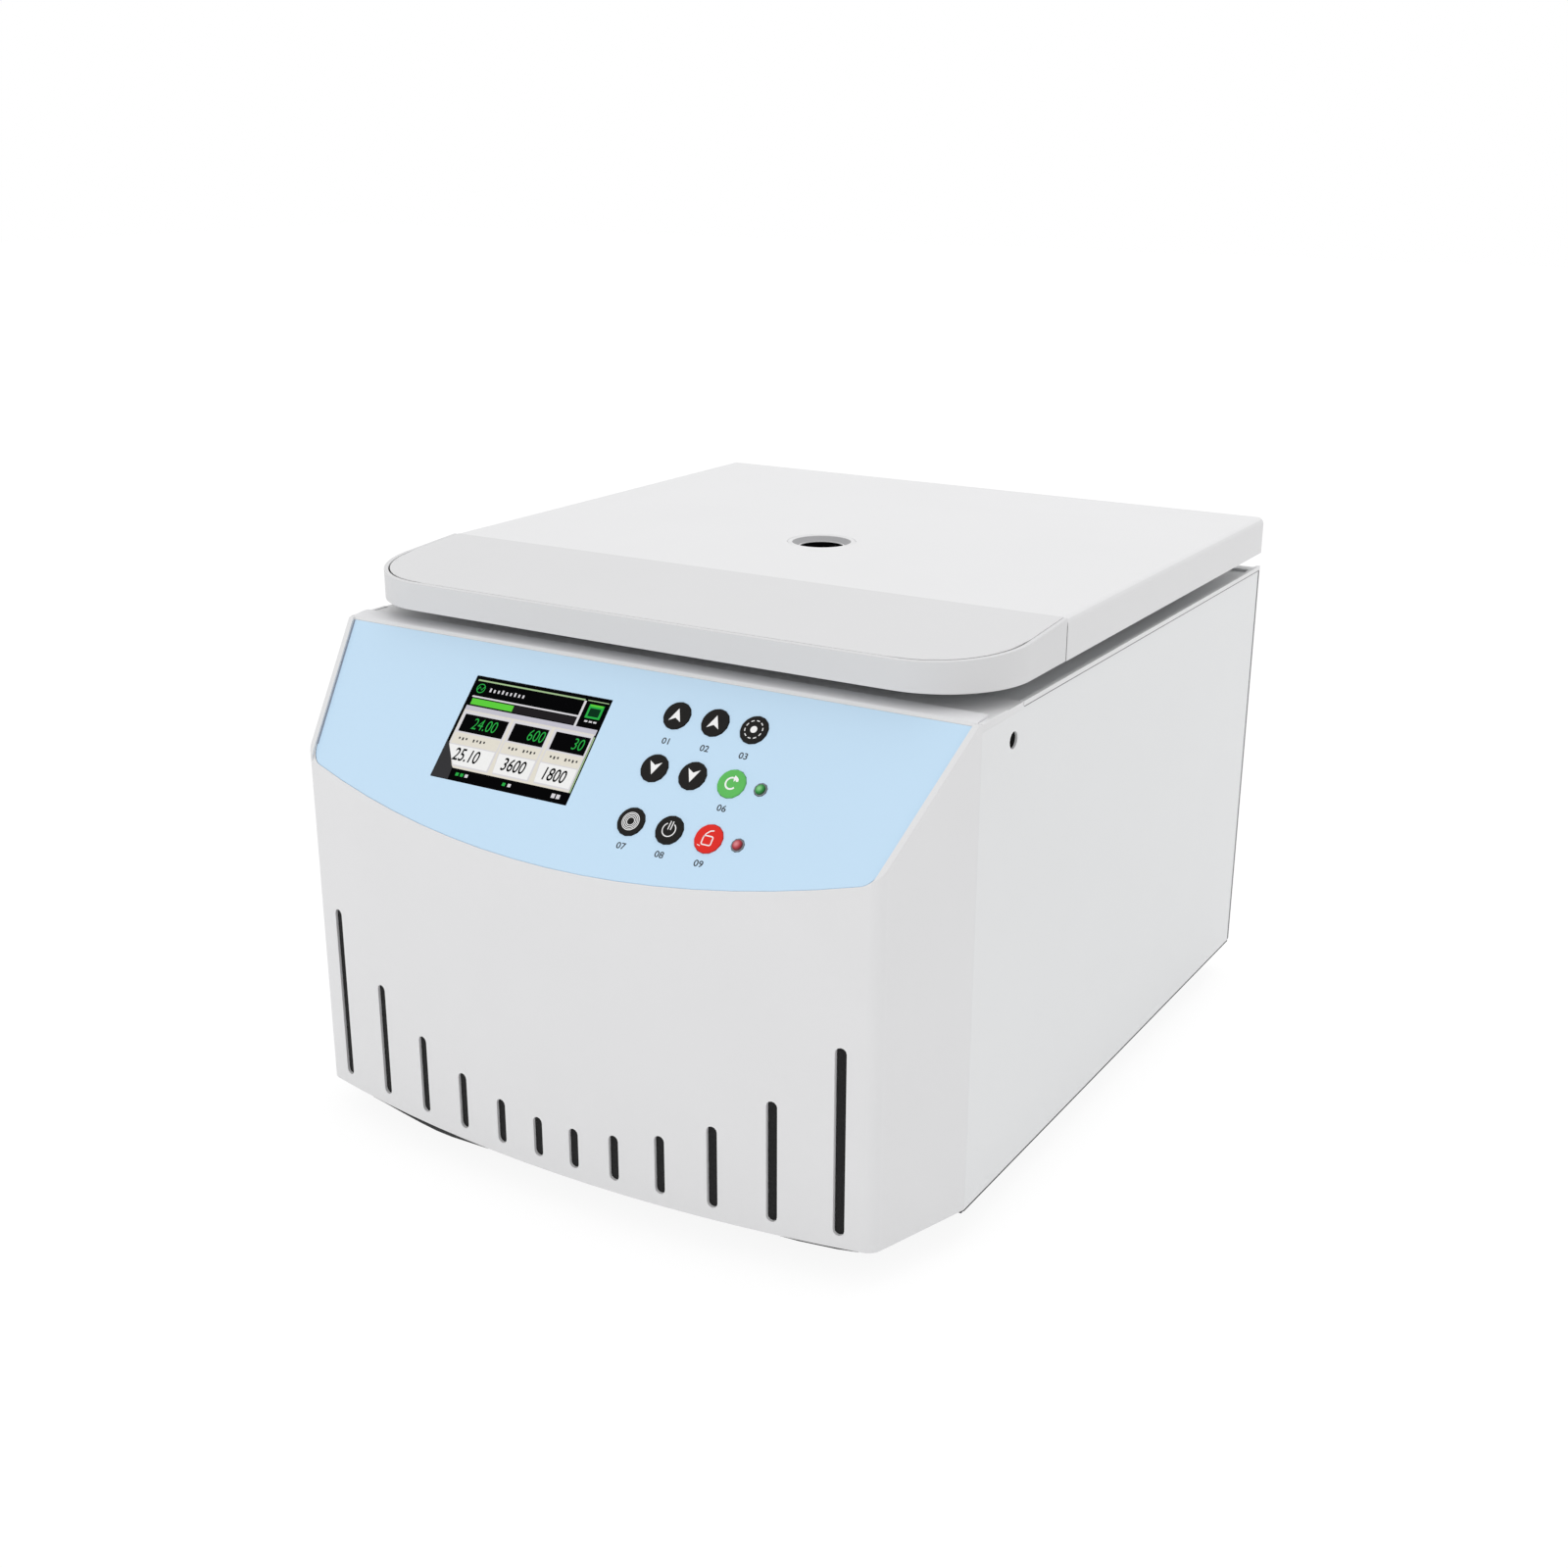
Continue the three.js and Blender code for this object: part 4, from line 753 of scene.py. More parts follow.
# %% Louvres
LOUVRE_WIDTH = 92
LOUVRE_HEIGHT = 5
LOUVRE_REACH = 2.4
LOUVRE_SKIN = 0.7
LOUVRE_DROP = 54
LOUVRE_SUNK = 0.1
QUARTER = arc(1, 0, 90, QUARTER_STEPS)

bm = bmesh.new()
outer_line = [(x * LOUVRE_REACH, y * LOUVRE_HEIGHT) for x, y in QUARTER]
inner_line = [
    (x * (LOUVRE_REACH - LOUVRE_SKIN), y * (LOUVRE_HEIGHT - LOUVRE_SKIN)) for x, y in QUARTER
]
add_band(bm, inner_line, outer_line, -LOUVRE_WIDTH / 2, LOUVRE_WIDTH / 2)
for end in (-LOUVRE_WIDTH / 2, LOUVRE_WIDTH / 2 - LOUVRE_SKIN):
    add_slab(bm, [(0, 0), *outer_line], end, end + LOUVRE_SKIN)
bm.transform(IN_MM @ ALONG_X)
hood = finished(bm, "hood", powder_coat)

GRID_RULE = {
    "Columns": 2, "Rows": 9, "Column_Pitch": 116.0 * MM, "Row_Pitch": 11.0 * MM, "Top": 0.0, "Face": 0.0,
}
tree, given = new_tree("rows_and_columns", **GRID_RULE)
index = flow(tree, "GeometryNodeInputIndex")
across = (index % given["Columns"] - (given["Columns"] - 1) * 0.5) * given["Column Pitch"]
row_number = math_of("FLOOR", index / given["Columns"])
spot = xyz(tree, X=across, Y=given["Face"], Z=given["Top"] - row_number * given["Row Pitch"])
grid = moved_to(tree, row_of(tree, given["Columns"] * given["Rows"]), Position=spot)
end_tree(tree, copies(tree, grid, given["Geometry"]), given)

rear_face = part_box("rear_panel")[1].y
side_low, side_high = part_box("side_panel_right")
louvres = grown("louvres", hood, tree, powder_coat, **{
    **GRID_RULE, "Top": side_high.z - LOUVRE_DROP * MM, "Face": rear_face - LOUVRE_SUNK * MM,
})
piece("rear_louvres", louvres, "base", "paint")
print("louvre faces:", len(louvres.polygons))

# %% [markdown]
# ## Screws
# Pan-head screws hold the rear sheet, the hinges, the motor's plate, the inlet and the lid's liner.
# One head is modelled with a sunk cross, because a cross that is only painted on looks flat from
# close by. The tree puts a copy on every point and turns it to face the way stored with that point.

# %% Screws
HEAD_STEPS = 24
HEAD_SHARES = ((0.72, 1), (1, 0), (0.96, 0.6))
CROSS_SHARES = (0.55, 0.14)
SUNK_SHARE = 0.45
REAR_SCREW_X = 190
REAR_SCREW_HEIGHTS = (42, 150, 262)
LEAF_SCREW_SHARES = (0.2, 0.8)
LEAF_SCREW_INSET = 9
LEAF_THICKNESS = 1.5
LINER_SCREW_X = 184
LINER_SCREW_PLACES = (-120, -20, 80, 180)
INLET_SCREW_REACH = 15.9


def screw_head(name, radius, height):
    """A pan head in millimetres, with a cross sunk into its top."""
    bm = bmesh.new()
    arm, wide = (share * radius for share in CROSS_SHARES)
    quarter = [(arm, -wide), (arm, wide), (wide, wide)]
    cross = []
    for turn in range(4):
        swing = Matrix.Rotation(turn * math.pi / 2, 2)
        cross.extend((swing @ Vector(corner)) for corner in quarter)
    rim, foot, shoulder = (
        [bm.verts.new((x, y, rise * height)) for x, y in arc(reach * radius, 0, 360, HEAD_STEPS)[:-1]]
        for reach, rise in HEAD_SHARES
    )
    upper, lower = (
        [bm.verts.new((*corner, z)) for corner in cross] for z in (height, height - SUNK_SHARE * height)
    )
    bridged(bm, (foot, shoulder, rim))
    bridged(bm, (lower, upper))
    bm.faces.new(lower)
    bm.faces.new(reversed(foot))
    edges = [
        bm.edges.get(pair) for ring in (rim, upper) for pair in zip(ring, ring[1:] + ring[:1])
    ]
    bmesh.ops.triangle_fill(bm, edges=edges, use_beauty=True)
    bmesh.ops.recalc_face_normals(bm, faces=bm.faces)
    bm.transform(IN_MM)
    made = bpy.data.objects.new(name, finished(bm, name, zinc_plate))
    scene.collection.objects.link(made)
    return made


tree, given = new_tree("heads_on_points")
points = flow(tree, "GeometryNodeMeshToPoints", {"Mesh": given["Geometry"]})
head = flow(tree, "GeometryNodeObjectInfo", {"Object": given["Item"]}, "Geometry")
way = flow(tree, "GeometryNodeInputNamedAttribute", {"Name": "facing"}, data_type="FLOAT_VECTOR")
aligned = flow(tree, "FunctionNodeAlignRotationToVector", {"Vector": way}, axis="Z")
heads_tree = end_tree(tree, copies(tree, points, head, Rotation=aligned), given)

deck_low, deck_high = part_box("top_deck")
leaf_low, leaf_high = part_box("hinge_base_right")
plate_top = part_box("motor_plate")[1].z
liner_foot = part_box("lid_liner")[0].z
inlet_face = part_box("power_inlet")[1].y
inlet_middle = middle_of("power_inlet")
leaf_y = leaf_low.y + LEAF_SCREW_INSET * MM
leaf_z = deck_high.z + LEAF_THICKNESS * MM

rear_spots = [
    (side * REAR_SCREW_X * MM, rear_face, z * MM) for side in (-1, 1) for z in REAR_SCREW_HEIGHTS
]
deck_spots = [
    (side * (leaf_low.x + share * (leaf_high.x - leaf_low.x)), leaf_y, leaf_z)
    for side in (-1, 1) for share in LEAF_SCREW_SHARES
]
plate_spots = [(*middle_of(f"motor_mount_{number}").xy, plate_top) for number in (1, 2, 3)]
inlet_spots = [
    (inlet_middle.x + side * INLET_SCREW_REACH * MM, inlet_face, inlet_middle.z) for side in (-1, 1)
]
liner_spots = [
    (side * LINER_SCREW_X * MM, y * MM, liner_foot) for side in (-1, 1) for y in LINER_SCREW_PLACES
]
pan_head = screw_head("pan_head", 3.6, 2)
small_head = screw_head("small_head", 1.7, 0.8)
for name, spots, way, body, head in (
    ("rear_screws", rear_spots, (0, 1, 0), "base", pan_head),
    ("deck_screws", deck_spots, (0, 0, 1), "base", pan_head),
    ("plate_screws", plate_spots, (0, 0, 1), "base", pan_head),
    ("inlet_screws", inlet_spots, (0, 1, 0), "base", small_head),
    ("liner_screws", liner_spots, (0, 0, -1), "lid", small_head),
):
    mesh = grown(name, point_mesh(name, spots, way), heads_tree, zinc_plate, head)
    piece(name, mesh, body, "zinc")
    print(name, len(spots))
for head in (pan_head, small_head):
    bpy.data.objects.remove(head)

# %% [markdown]
# ## Edge guards
# A light U-shaped guard covers the raw top edge of each side sheet, and shows as a fine double line under
# the lid. Under each guard runs a thin grey bar, a painted shadow of the guard. The ledge in front has a
# cap at each end, and the rear corners have a grey joint line where the sheets meet. All of these are
# plain bars, so a small helper makes a bar from two corners and rounds its edges with a bevel.

# %% Edge guards
def bars(name, corners, look, body, slot, edge):
    """Several plain bars, each between two corners, as one piece with rounded edges."""
    bm = bmesh.new()
    for low, high in corners:
        outline = [(low[0], low[1]), (high[0], low[1]), (high[0], high[1]), (low[0], high[1])]
        add_slab(bm, outline, low[2], high[2])
    bevelled(bm, bm.edges[:], edge)
    return weighted(built(bm, name, look, body, slot))


guard_strip = material("guard_strip", (226, 226, 227), 0.4, drift=(60, 0.02))
joint_line = material("joint_line", (118, 119, 121), 0.6, drift=(80, 0.06))

WALL_TOP = side_high.z / MM
WALL_BOTTOM = side_low.z / MM
WALL_REAR = side_high.y / MM
RIDGE = side_low.y / MM
DECK_FRONT = deck_low.y / MM
SHELF_END = RIDGE + 28


def both_sides(low, high):
    """A bar and its mirror image on the other side of the machine."""
    return [(low, high), ((-high[0], *low[1:]), (-low[0], *high[1:]))]


guards = both_sides((197.9, DECK_FRONT, WALL_TOP - 2.2), (200.5, WALL_REAR - 0.2, WALL_TOP + 0.4))
shelf_ends = both_sides((197.5, RIDGE + 0.2, WALL_TOP - 0.3), (200, SHELF_END, WALL_TOP + 0.5))
joints = [
    *both_sides((199.5, WALL_REAR - 2, WALL_BOTTOM + 1), (200.15, WALL_REAR - 0.05, WALL_TOP - 3)),
    # This second pair is a grey bar under each guard: painted shadow of the guard.
    *both_sides((199.5, DECK_FRONT + 1, WALL_TOP - 2.8), (200.2, WALL_REAR - 0.2, WALL_TOP - 2.2)),
]
bars("edge_guards", guards, guard_strip, "base", "paint", 0.3)
bars("shelf_ends", shelf_ends, front_moulding, "base", "moulding", 0.3)
bars("corner_joints", joints, joint_line, "base", "paint", 0.05)
print("bars:", len(guards) + len(shelf_ends) + len(joints))

# %% [markdown]
# ## Painted shadow under the housing
# A black strip between the housing and its base pan stands for the dark contact shadow along the housing's
# foot: painted shadow. It shows as a dark line under the side sheets, and at the front it hangs down as a
# thin dark crescent of painted shadow. One helper does it all: a strip follows the foot of the housing,
# and a table gives how far it hangs down at each place.

# %% Painted shadow under the housing
BOW_RADIUS = 800.7
BOW_NOSE = fascia_low.y / MM
LEFT_HANG = (
    (-142, 0.05), (-128, 0.4), (-115, 1.1), (-101, 1.9), (-88, 2.4), (-76, 2.1), (-64, 1.1), (-48, 0.05),
)
RIGHT_HANG = ((132, 0.05), (142, 0.6), (162, 0.7), (173, 0.1))
WALL_FOOT = ((187.6, -196), (192, -180), (196.7, -162.9), (199.9, -162.6), (199.9, WALL_REAR - 1))
WALL_HANGS = (0.1, 0.7, 1, 1, 1)
SHADOW_STRIP_DEPTH = 2


def bow_point(x):
    """A point on the foot of the bowed front."""
    return x, BOW_NOSE + BOW_RADIUS - math.sqrt(BOW_RADIUS ** 2 - x ** 2)


def hanging_strip(bm, points, hangs, inward):
    """A strip under a line of plan points, hanging down by its own amount at each."""
    stations = []
    for (x, y), hang in zip(points, hangs):
        inner = (x + inward[0] * SHADOW_STRIP_DEPTH, y + inward[1] * SHADOW_STRIP_DEPTH)
        stations.append([
            bm.verts.new((*flat, WALL_BOTTOM - drop))
            for flat, drop in (((x, y), 0), (inner, 0), (inner, hang), ((x, y), hang))
        ])
    capped(bm, stations)


# The black strip is painted shadow along the foot of the housing.
bm = bmesh.new()
for table in (LEFT_HANG, RIGHT_HANG):
    hanging_strip(bm, [bow_point(x) for x, _ in table], [hang for _, hang in table], (0, 1))
for side in (-1, 1):
    hanging_strip(bm, [(side * x, y) for x, y in WALL_FOOT], WALL_HANGS, (-side, 0))
bmesh.ops.recalc_face_normals(bm, faces=bm.faces)
built(bm, "underside_seal", black_rubber, "base", "rubber")
print("the seal hangs down by at most", max(hang for _, hang in LEFT_HANG), "mm")

# %% [markdown]
# ## Lid
# The lid is a sheet cover with a moulded front. Its upper edges are rounded where the sheet is bent. Its
# front slopes down a few degrees and has the drier finish of the moulding, in a tone darkened partly as
# painted shade, so the bend shows as a line across the top. The upright sides get a greyer copy of the
# coat: painted shade.

# %% Lid cover
BROAD = 0.004
BEND_MARGIN = 1 * MM
SIDEWAYS = 0.75
LID_SLOPE = math.radians(4.2)
bumper_low, bumper_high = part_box("lid_bumper")
BEND_Y = bumper_high.y

cover = fine("lid_cover", lid_coat, SHEET_EDGE, broad=BROAD)
cover.data.materials.append(lid_skin)
cover.data.materials.append(lid_side)
sloped = 0
for face in cover.data.polygons:
    if face.center.y < BEND_Y - BEND_MARGIN:
        face.material_index = 1
        sloped += 1
    # Upright faces of the cover take the greyer copy of the coat: painted shade.
    elif abs(face.normal.x) > SIDEWAYS:
        face.material_index = 2
fine("lid_liner", brushed_sheet, SHEET_EDGE)
fine("lid_striker", zinc_plate, 0.3)
print("faces of the sloped front:", sloped)

# %% [markdown]
# ## Lid rim
# The rim is one cross-section carried round the lid's front: straight sides, round corners and a
# front that is very slightly bowed. Its top comes down with the slope of the lid while its foot
# stays level. The tree sweeps the section along the outline, and then lowers every point by its
# share of the height, which keeps the foot straight. A narrow ledge inside the rim carries the skin,
# and a dark seal lies on it in the gap between rim and skin.

# %% Lid rim
RIM_BOW = 1.3
RIM_CORNER = 50.2
RIM_WALL = 2.5
RIM_GAP = 1.1
RIM_HEIGHT = 22.6
CORNER_STEPS = 28
FRONT_STEPS = 40
BEND = BEND_Y / MM
LID_HALF = bumper_high.x / MM
SWEEP = (LID_HALF ** 2 + RIM_BOW ** 2) / (2 * RIM_BOW)
SWEEP_Y = bumper_low.y / MM + SWEEP


def corner_middle(inset, radius):
    """Where the right front corner of an outline with that inset has its middle."""
    x = LID_HALF - inset - radius
    return Vector((x, SWEEP_Y - math.sqrt((SWEEP - inset - radius) ** 2 - x ** 2)))


RIM_MIDDLE = corner_middle(0, RIM_CORNER)
CORNER_TURN = math.degrees(math.atan2(RIM_MIDDLE.y - SWEEP_Y, RIM_MIDDLE.x))


def rim_outline(inset):
    """The lid's front outline seen from above, in millimetres, from the right side to the left."""
    half = LID_HALF - inset
    start = [(half, BEND - RIM_GAP), (half, (BEND + RIM_MIDDLE.y) / 2)]
    corner = arc(RIM_CORNER - inset, 0, CORNER_TURN, CORNER_STEPS, RIM_MIDDLE)
    front = arc(SWEEP - inset, CORNER_TURN, -180 - CORNER_TURN, FRONT_STEPS, (0, SWEEP_Y))
    other = [(-x, y) for x, y in reversed([*start, *corner])]
    return [*start, *corner, *front[1:-1], *other]


RIM_RULE = {
    "Wall": RIM_WALL * MM, "Height": RIM_HEIGHT * MM, "Edge": 0.35 * MM, "Foot": 0.0, "Bottom": 0.0,
    "Rise": RIM_HEIGHT * MM, "Bend": 0.0, "Slope": LID_SLOPE,
}
tree, given = new_tree("swept_rim", **RIM_RULE)
path = flow(tree, "GeometryNodeMeshToCurve", {"Mesh": given["Geometry"]})
path = flow(tree, "GeometryNodeSetCurveNormal", {"Curve": path}, mode="Z_UP")
section = flow(tree, "GeometryNodeCurvePrimitiveQuadrilateral", {
    "Width": given["Wall"], "Height": given["Height"],
}, mode="RECTANGLE")
section = flow(tree, "GeometryNodeFilletCurve", {
    "Curve": section, "Count": 4, "Radius": given["Edge"], "Limit Radius": True,
}, mode="POLY")
band = flow(tree, "GeometryNodeCurveToMesh", {
    "Curve": path, "Profile Curve": section, "Fill Caps": True,
})
raised = moved_to(tree, band, Offset=xyz(tree, Z=given["Foot"] + given["Height"] * 0.5))
place = flow(tree, "GeometryNodeInputPosition")
_, y, z = (Flow(axis) for axis in add(tree, "ShaderNodeSeparateXYZ", {"Vector": place}).outputs)
share = (z - given["Bottom"]) / given["Rise"]
ahead_of_bend = math_of("MAXIMUM", given["Bend"] - y, 0.0)
fall = ahead_of_bend * math_of("TANGENT", given["Slope"])
sloping = moved_to(tree, raised, Offset=xyz(tree, Z=fall * share * -1))
rim_tree = end_tree(tree, sloping, given)


def swept(name, inset, look, **values):
    outline = [(x * MM, y * MM, 0) for x, y in rim_outline(inset)]
    mesh = bpy.data.meshes.new(name)
    mesh.from_pydata(outline, [(k, k + 1) for k in range(len(outline) - 1)], [])
    rule = {**RIM_RULE, "Bottom": bumper_low.z, "Bend": BEND_Y, **values}
    made = grown(name, mesh, rim_tree, look, **rule)
    bm = bmesh.new()
    bm.from_mesh(made)
    bmesh.ops.recalc_face_normals(bm, faces=bm.faces)
    bm.to_mesh(made)
    bm.free()
    return crisp(made, angle=40)


rim = swept("lid_rim", RIM_WALL / 2, rim_moulding, Foot=bumper_low.z)
weighted(piece("lid_rim", rim, "lid", "moulding", "lid_bumper"))
ledge = swept(
    "lid_rim_ledge", RIM_WALL + 1.75, rim_moulding, Wall=4 * MM, Height=1.5 * MM, Edge=0.2 * MM,
    Foot=bumper_high.z - 3.6 * MM,
)
weighted(piece("lid_rim_ledge", ledge, "lid", "moulding"))
# Its black also darkens the gap between rim and skin: partly a real seal, partly painted shade.
seal = swept(
    "lid_rim_seal", RIM_WALL + 1.7, black_rubber, Wall=3.4 * MM, Height=0.35 * MM, Edge=0.1 * MM,
    Foot=bumper_high.z - 1.5 * MM,
)
piece("lid_rim_seal", seal, "lid", "rubber")
print("rim faces:", len(rim.polygons))

# %% [markdown]
# ## Corners and joints
# The skin's own corners are rounder than the rim's. A thin filler in the skin's finish carries each
# of them outwards and leaves only a fine dark line of the seal. It is a band that follows both
# outlines, and it takes its slope from the broad face of the skin. Where the rim meets the sheet of
# the lid's sides there is a black joint, which is a plain bar.

# %% Corners and joints
SKIN_INSET = RIM_WALL + 0.2
SKIN_CORNER = RIM_CORNER - SKIN_INSET + 5
SKIN_ROUND = 0.3
SEAL_LINE = 0.9
FILLER_THICK = 0.6
UPWARD = 0.9

skin_middle = corner_middle(SKIN_INSET, SKIN_CORNER)
outer_line = arc(RIM_CORNER - RIM_WALL - SEAL_LINE, 0, CORNER_TURN, CORNER_STEPS, RIM_MIDDLE)
inner_line = [
    skin_middle + (Vector(point) - skin_middle).normalized() * (SKIN_CORNER - SKIN_ROUND)
    for point in outer_line
]
bm = bmesh.new()
for side in (-1, 1):
    mirrored = [[(side * x, y) for x, y in points] for points in (inner_line, outer_line)]
    add_band(bm, *mirrored, -FILLER_THICK, 0)
skin = [face for face in cover.data.polygons if face.material_index == 1 and face.normal.z > UPWARD]
skin_top = max(skin, key=lambda face: face.area)
rise = -skin_top.normal.y / skin_top.normal.z
for corner in bm.verts:
    corner.co.z += skin_top.center.z / MM + rise * (corner.co.y - skin_top.center.y / MM)
built(bm, "skin_corners", lid_skin, "lid", "paint")

LID_BOTTOM = bumper_low.z / MM
joint = both_sides(
    (198.7, BEND - RIM_GAP - 0.3, LID_BOTTOM + 0.3), (200.7, BEND + 0.2, LID_BOTTOM + 18.4),
)
bars("rim_joints", joint, black_rubber, "lid", "rubber", 0.05)
print("corner fillers and joints: 2 each")

# %% [markdown]
# ## View port
# The port is a round tube let into the lid, flush with its top. A smoked window lies on a lip near
# the bottom. A dished insert narrows the well towards it, with a pale ring at its foot and a black
# bore below. From the flat angle of the picture the window is out of sight and the bore is what
# looks black. It has no gloss, because at such an angle any mirror would show the white room.

# %% View port
turned_piece("port_bezel", lid_coat, 0.2, FINE_TURN)
turned_piece("port_window", smoked_window, 0.2, FINE_TURN)

# The dish's mid grey and the bore's black are painted shade of the deep well.
port_shade = material("port_shade", (158, 158, 160), 0.6, drift=(120, 0.03))
port_middle = middle_of("port_bezel")
port_middle.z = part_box("port_bezel")[1].z
port_axes = Matrix.Translation(port_middle) @ IN_MM
for name, look, profile in (
    ("port_collar", lid_coat, (
        (18.95, -1.2), (18.95, -0.05), (17.7, -0.05), (17.5, -0.5), (17.5, -1.2),
    )),
    ("port_dish", port_shade, (
        (18.9, -1.2), (17.5, -0.4), (13.7, -2.9), (13.2, -3.1), (13.2, -3.8), (13.7, -3.8),
    )),
    ("port_ring", guard_strip, ((13.1, -2.95), (13.8, -2.6), (13.0, -2.5), (12.9, -3.1))),
    ("port_bore", smoked_window, ((13.2, -3.1), (12.95, -3.1), (12.95, -7.9), (13.2, -7.9))),
):
    bm = bmesh.new()
    spun(bm, [Vector(point) for point in profile], True, FINE_TURN, port_axes)
    piece(name, finished(bm, name, look, angle=20), "lid", "moulding")
print("rings in the port: 4")

# %% [markdown]
# ## Panel
# The blue overlay is a printed film in a shallow recess. The film has a fine texture and takes the
# light softly. Everything that is printed or fitted there is placed in the panel's own frame: x to
# the right, y up the slope and z out of it, in millimetres from the middle of the top edge.

# %% Panel frame and film
PANEL_SLOPE = math.radians(46.75)
PANEL = (
    Matrix.Translation((0, side_low.y, side_high.z))
    @ Matrix.Rotation(PANEL_SLOPE, 4, "X")
    @ IN_MM
)

overlay_film = material(
    "overlay_film", (198, 226, 248), 0.42, drift=(9, 0.012), bumps=(2600, 0.00001, 3),
)
fine("control_overlay", overlay_film, 0.1)
fine("display_module", black_plastic, 0.3)
fine("control_board", circuit_green, 0.2)
print("the panel leans back by", round(90 - math.degrees(PANEL_SLOPE), 2), "degrees")

# %% [markdown]
# ## Ledge bead
# Along the front of the ledge, right above the film, runs a low rounded bead. Its front faces the
# light while the ledge behind it lies in the lid's shade, so it shows as a bright band. It is one
# section drawn out across the whole width.

# %% Ledge bead
BEAD_RISE = 2.1
BEAD_REACH = 11
BEAD_FRONT = RIDGE + 0.1
BEAD_HALF = 197.4
BEAD_SUNK = 0.3

bead_look = material("ledge_bead", (228, 228, 230), 0.5, drift=(40, 0.015))
section = [
    *[(BEAD_FRONT + BEAD_REACH * (1 - x), WALL_TOP + BEAD_RISE * y) for x, y in QUARTER],
    (BEAD_FRONT + BEAD_REACH, WALL_TOP - BEAD_SUNK), (BEAD_FRONT, WALL_TOP - BEAD_SUNK),
]
bm = bmesh.new()
add_slab(bm, section, -BEAD_HALF, BEAD_HALF)
built(bm, "ledge_bead", bead_look, "base", "moulding", IN_MM @ ALONG_X)
print("bead across", 2 * BEAD_HALF, "mm")

# %% [markdown]
# ## Keys
# Nine round keys stand a little out of the film, seven black, one green and one red. Each carries a
# white mark that is moulded in, so it is built as thin solid shapes sunk into the key's face and
# rides with the key. The marks are simple signs: arrowheads, a dashed ring, rings, open rings with
# bars, a rounded square with a stroke. Full shapes are slabs and the lines are bands or strokes.

# %% Keys
KEY_FIRST = (37.3, -23.8)
KEY_PITCH = (23.1, 30.4)
KEY_TOP = 0.7
MARK_SUNK = 0.1
MARK_PROUD = 0.06


def key_place(number):
    row, column = divmod(number - 1, 3)
    return KEY_FIRST[0] + column * KEY_PITCH[0], KEY_FIRST[1] - row * KEY_PITCH[1]


def panel_axes(x, y):
    """Axes in metres that stand on the panel at a place on it."""
    return Matrix.Translation(PANEL @ Vector((x, y, 0))) @ Matrix.Rotation(PANEL_SLOPE, 4, "X")


KEY_BLACK = (34, 33, 32)
KEY_COLOURS = {6: (100, 190, 98), 9: (226, 50, 44)}

for number in range(1, 10):
    look = material(
        f"key_face_{number}", KEY_COLOURS.get(number, KEY_BLACK), 0.5,
        drift=(120, 0.05), bumps=(2000, 0.00001, 3), Specular_IOR_Level=0.06,
    )
    turned_piece(f"key_{number}", look, 0.25, SMALL_TURN, panel_axes(*key_place(number)))

mark_white = material("mark_white", (246, 246, 246), 0.5, drift=(200, 0.02))


def key_mark(bm, number, low, high):
    """The white sign of one key, about the key's middle."""
    up = [(0, 3.9), (-3.6, -3.5), (0, -1.5), (3.6, -3.5)]
    if number in (1, 2):
        add_slab(bm, up, low, high)
    elif number in (4, 5):
        add_slab(bm, [(x, -y) for x, y in reversed(up)], low, high)
    elif number == 3:
        add_slab(bm, arc(1.9, 0, 345, 23), low, high)
        for dash in range(10):
            start = dash * 36
            add_band(bm, arc(4.7, start, start + 20, 5), arc(5.2, start, start + 20, 5), low, high)
    elif number == 6:
        stroke(bm, arc(3.1, 88, 322, 24), 0.95, low, high)
        add_slab(bm, [
            (0.7, 4.5), (0.2, 3.0), (1.0, 1.0), (1.6, 2.2), (2.3, 1.2), (3.4, 1.5), (3.3, 2.7), (2.4, 3.6),
        ], low, high)
    elif number == 7:
        for radius in (2.2, 3.1, 4.0, 4.8):
            stroke(bm, arc(radius, 0, 352.5, 47), 0.4, low, high, True)
    elif number == 8:
        stroke(bm, arc(3.7, 122, 418, 36), 0.55, low, high)
        for x in (-0.7, 0.8):
            add_slab(bm, [(x - 0.28, 0), (x + 0.28, 0), (x + 0.5, 4.7), (x, 4.7)], low, high)
    elif number == 9:
        square = [
            *arc(0.9, 180, 90, 4, (-1.9, 0.3)), *arc(0.9, 90, 0, 4, (1.7, 0.3)),
            *arc(0.9, 0, -90, 4, (1.7, -2.7)), *arc(0.9, -90, -180, 4, (-1.9, -2.7)),
        ]
        stroke(bm, square, 0.62, low, high, True)
        stroke(bm, [(-2.8, 0.2), (-2.0, 2.2), (-0.2, 3.9), (1.7, 4.4)], 0.62, low, high)
        stroke(bm, [(-4.6, -4.2), (-2.9, -4.6)], 0.4, low, high)


for number in range(1, 10):
    bm = bmesh.new()
    key_mark(bm, number, KEY_TOP - MARK_SUNK, KEY_TOP + MARK_PROUD)
    spot = PANEL @ Matrix.Translation((*key_place(number), 0))
    built(bm, f"key_{number}_mark", mark_white, f"key_{number}", "key_black", spot)
print("keys with marks: 9")

# %% [markdown]
# ## Numbers under the keys
# Plain numbers are printed under seven of the keys. Blender's own font makes them: a text object is
# turned into a mesh first, then moved to its place, so that the finished piece sits at the origin
# like every other.

# %% Printed numbers
PRINT_WELD = 0.002 * MM


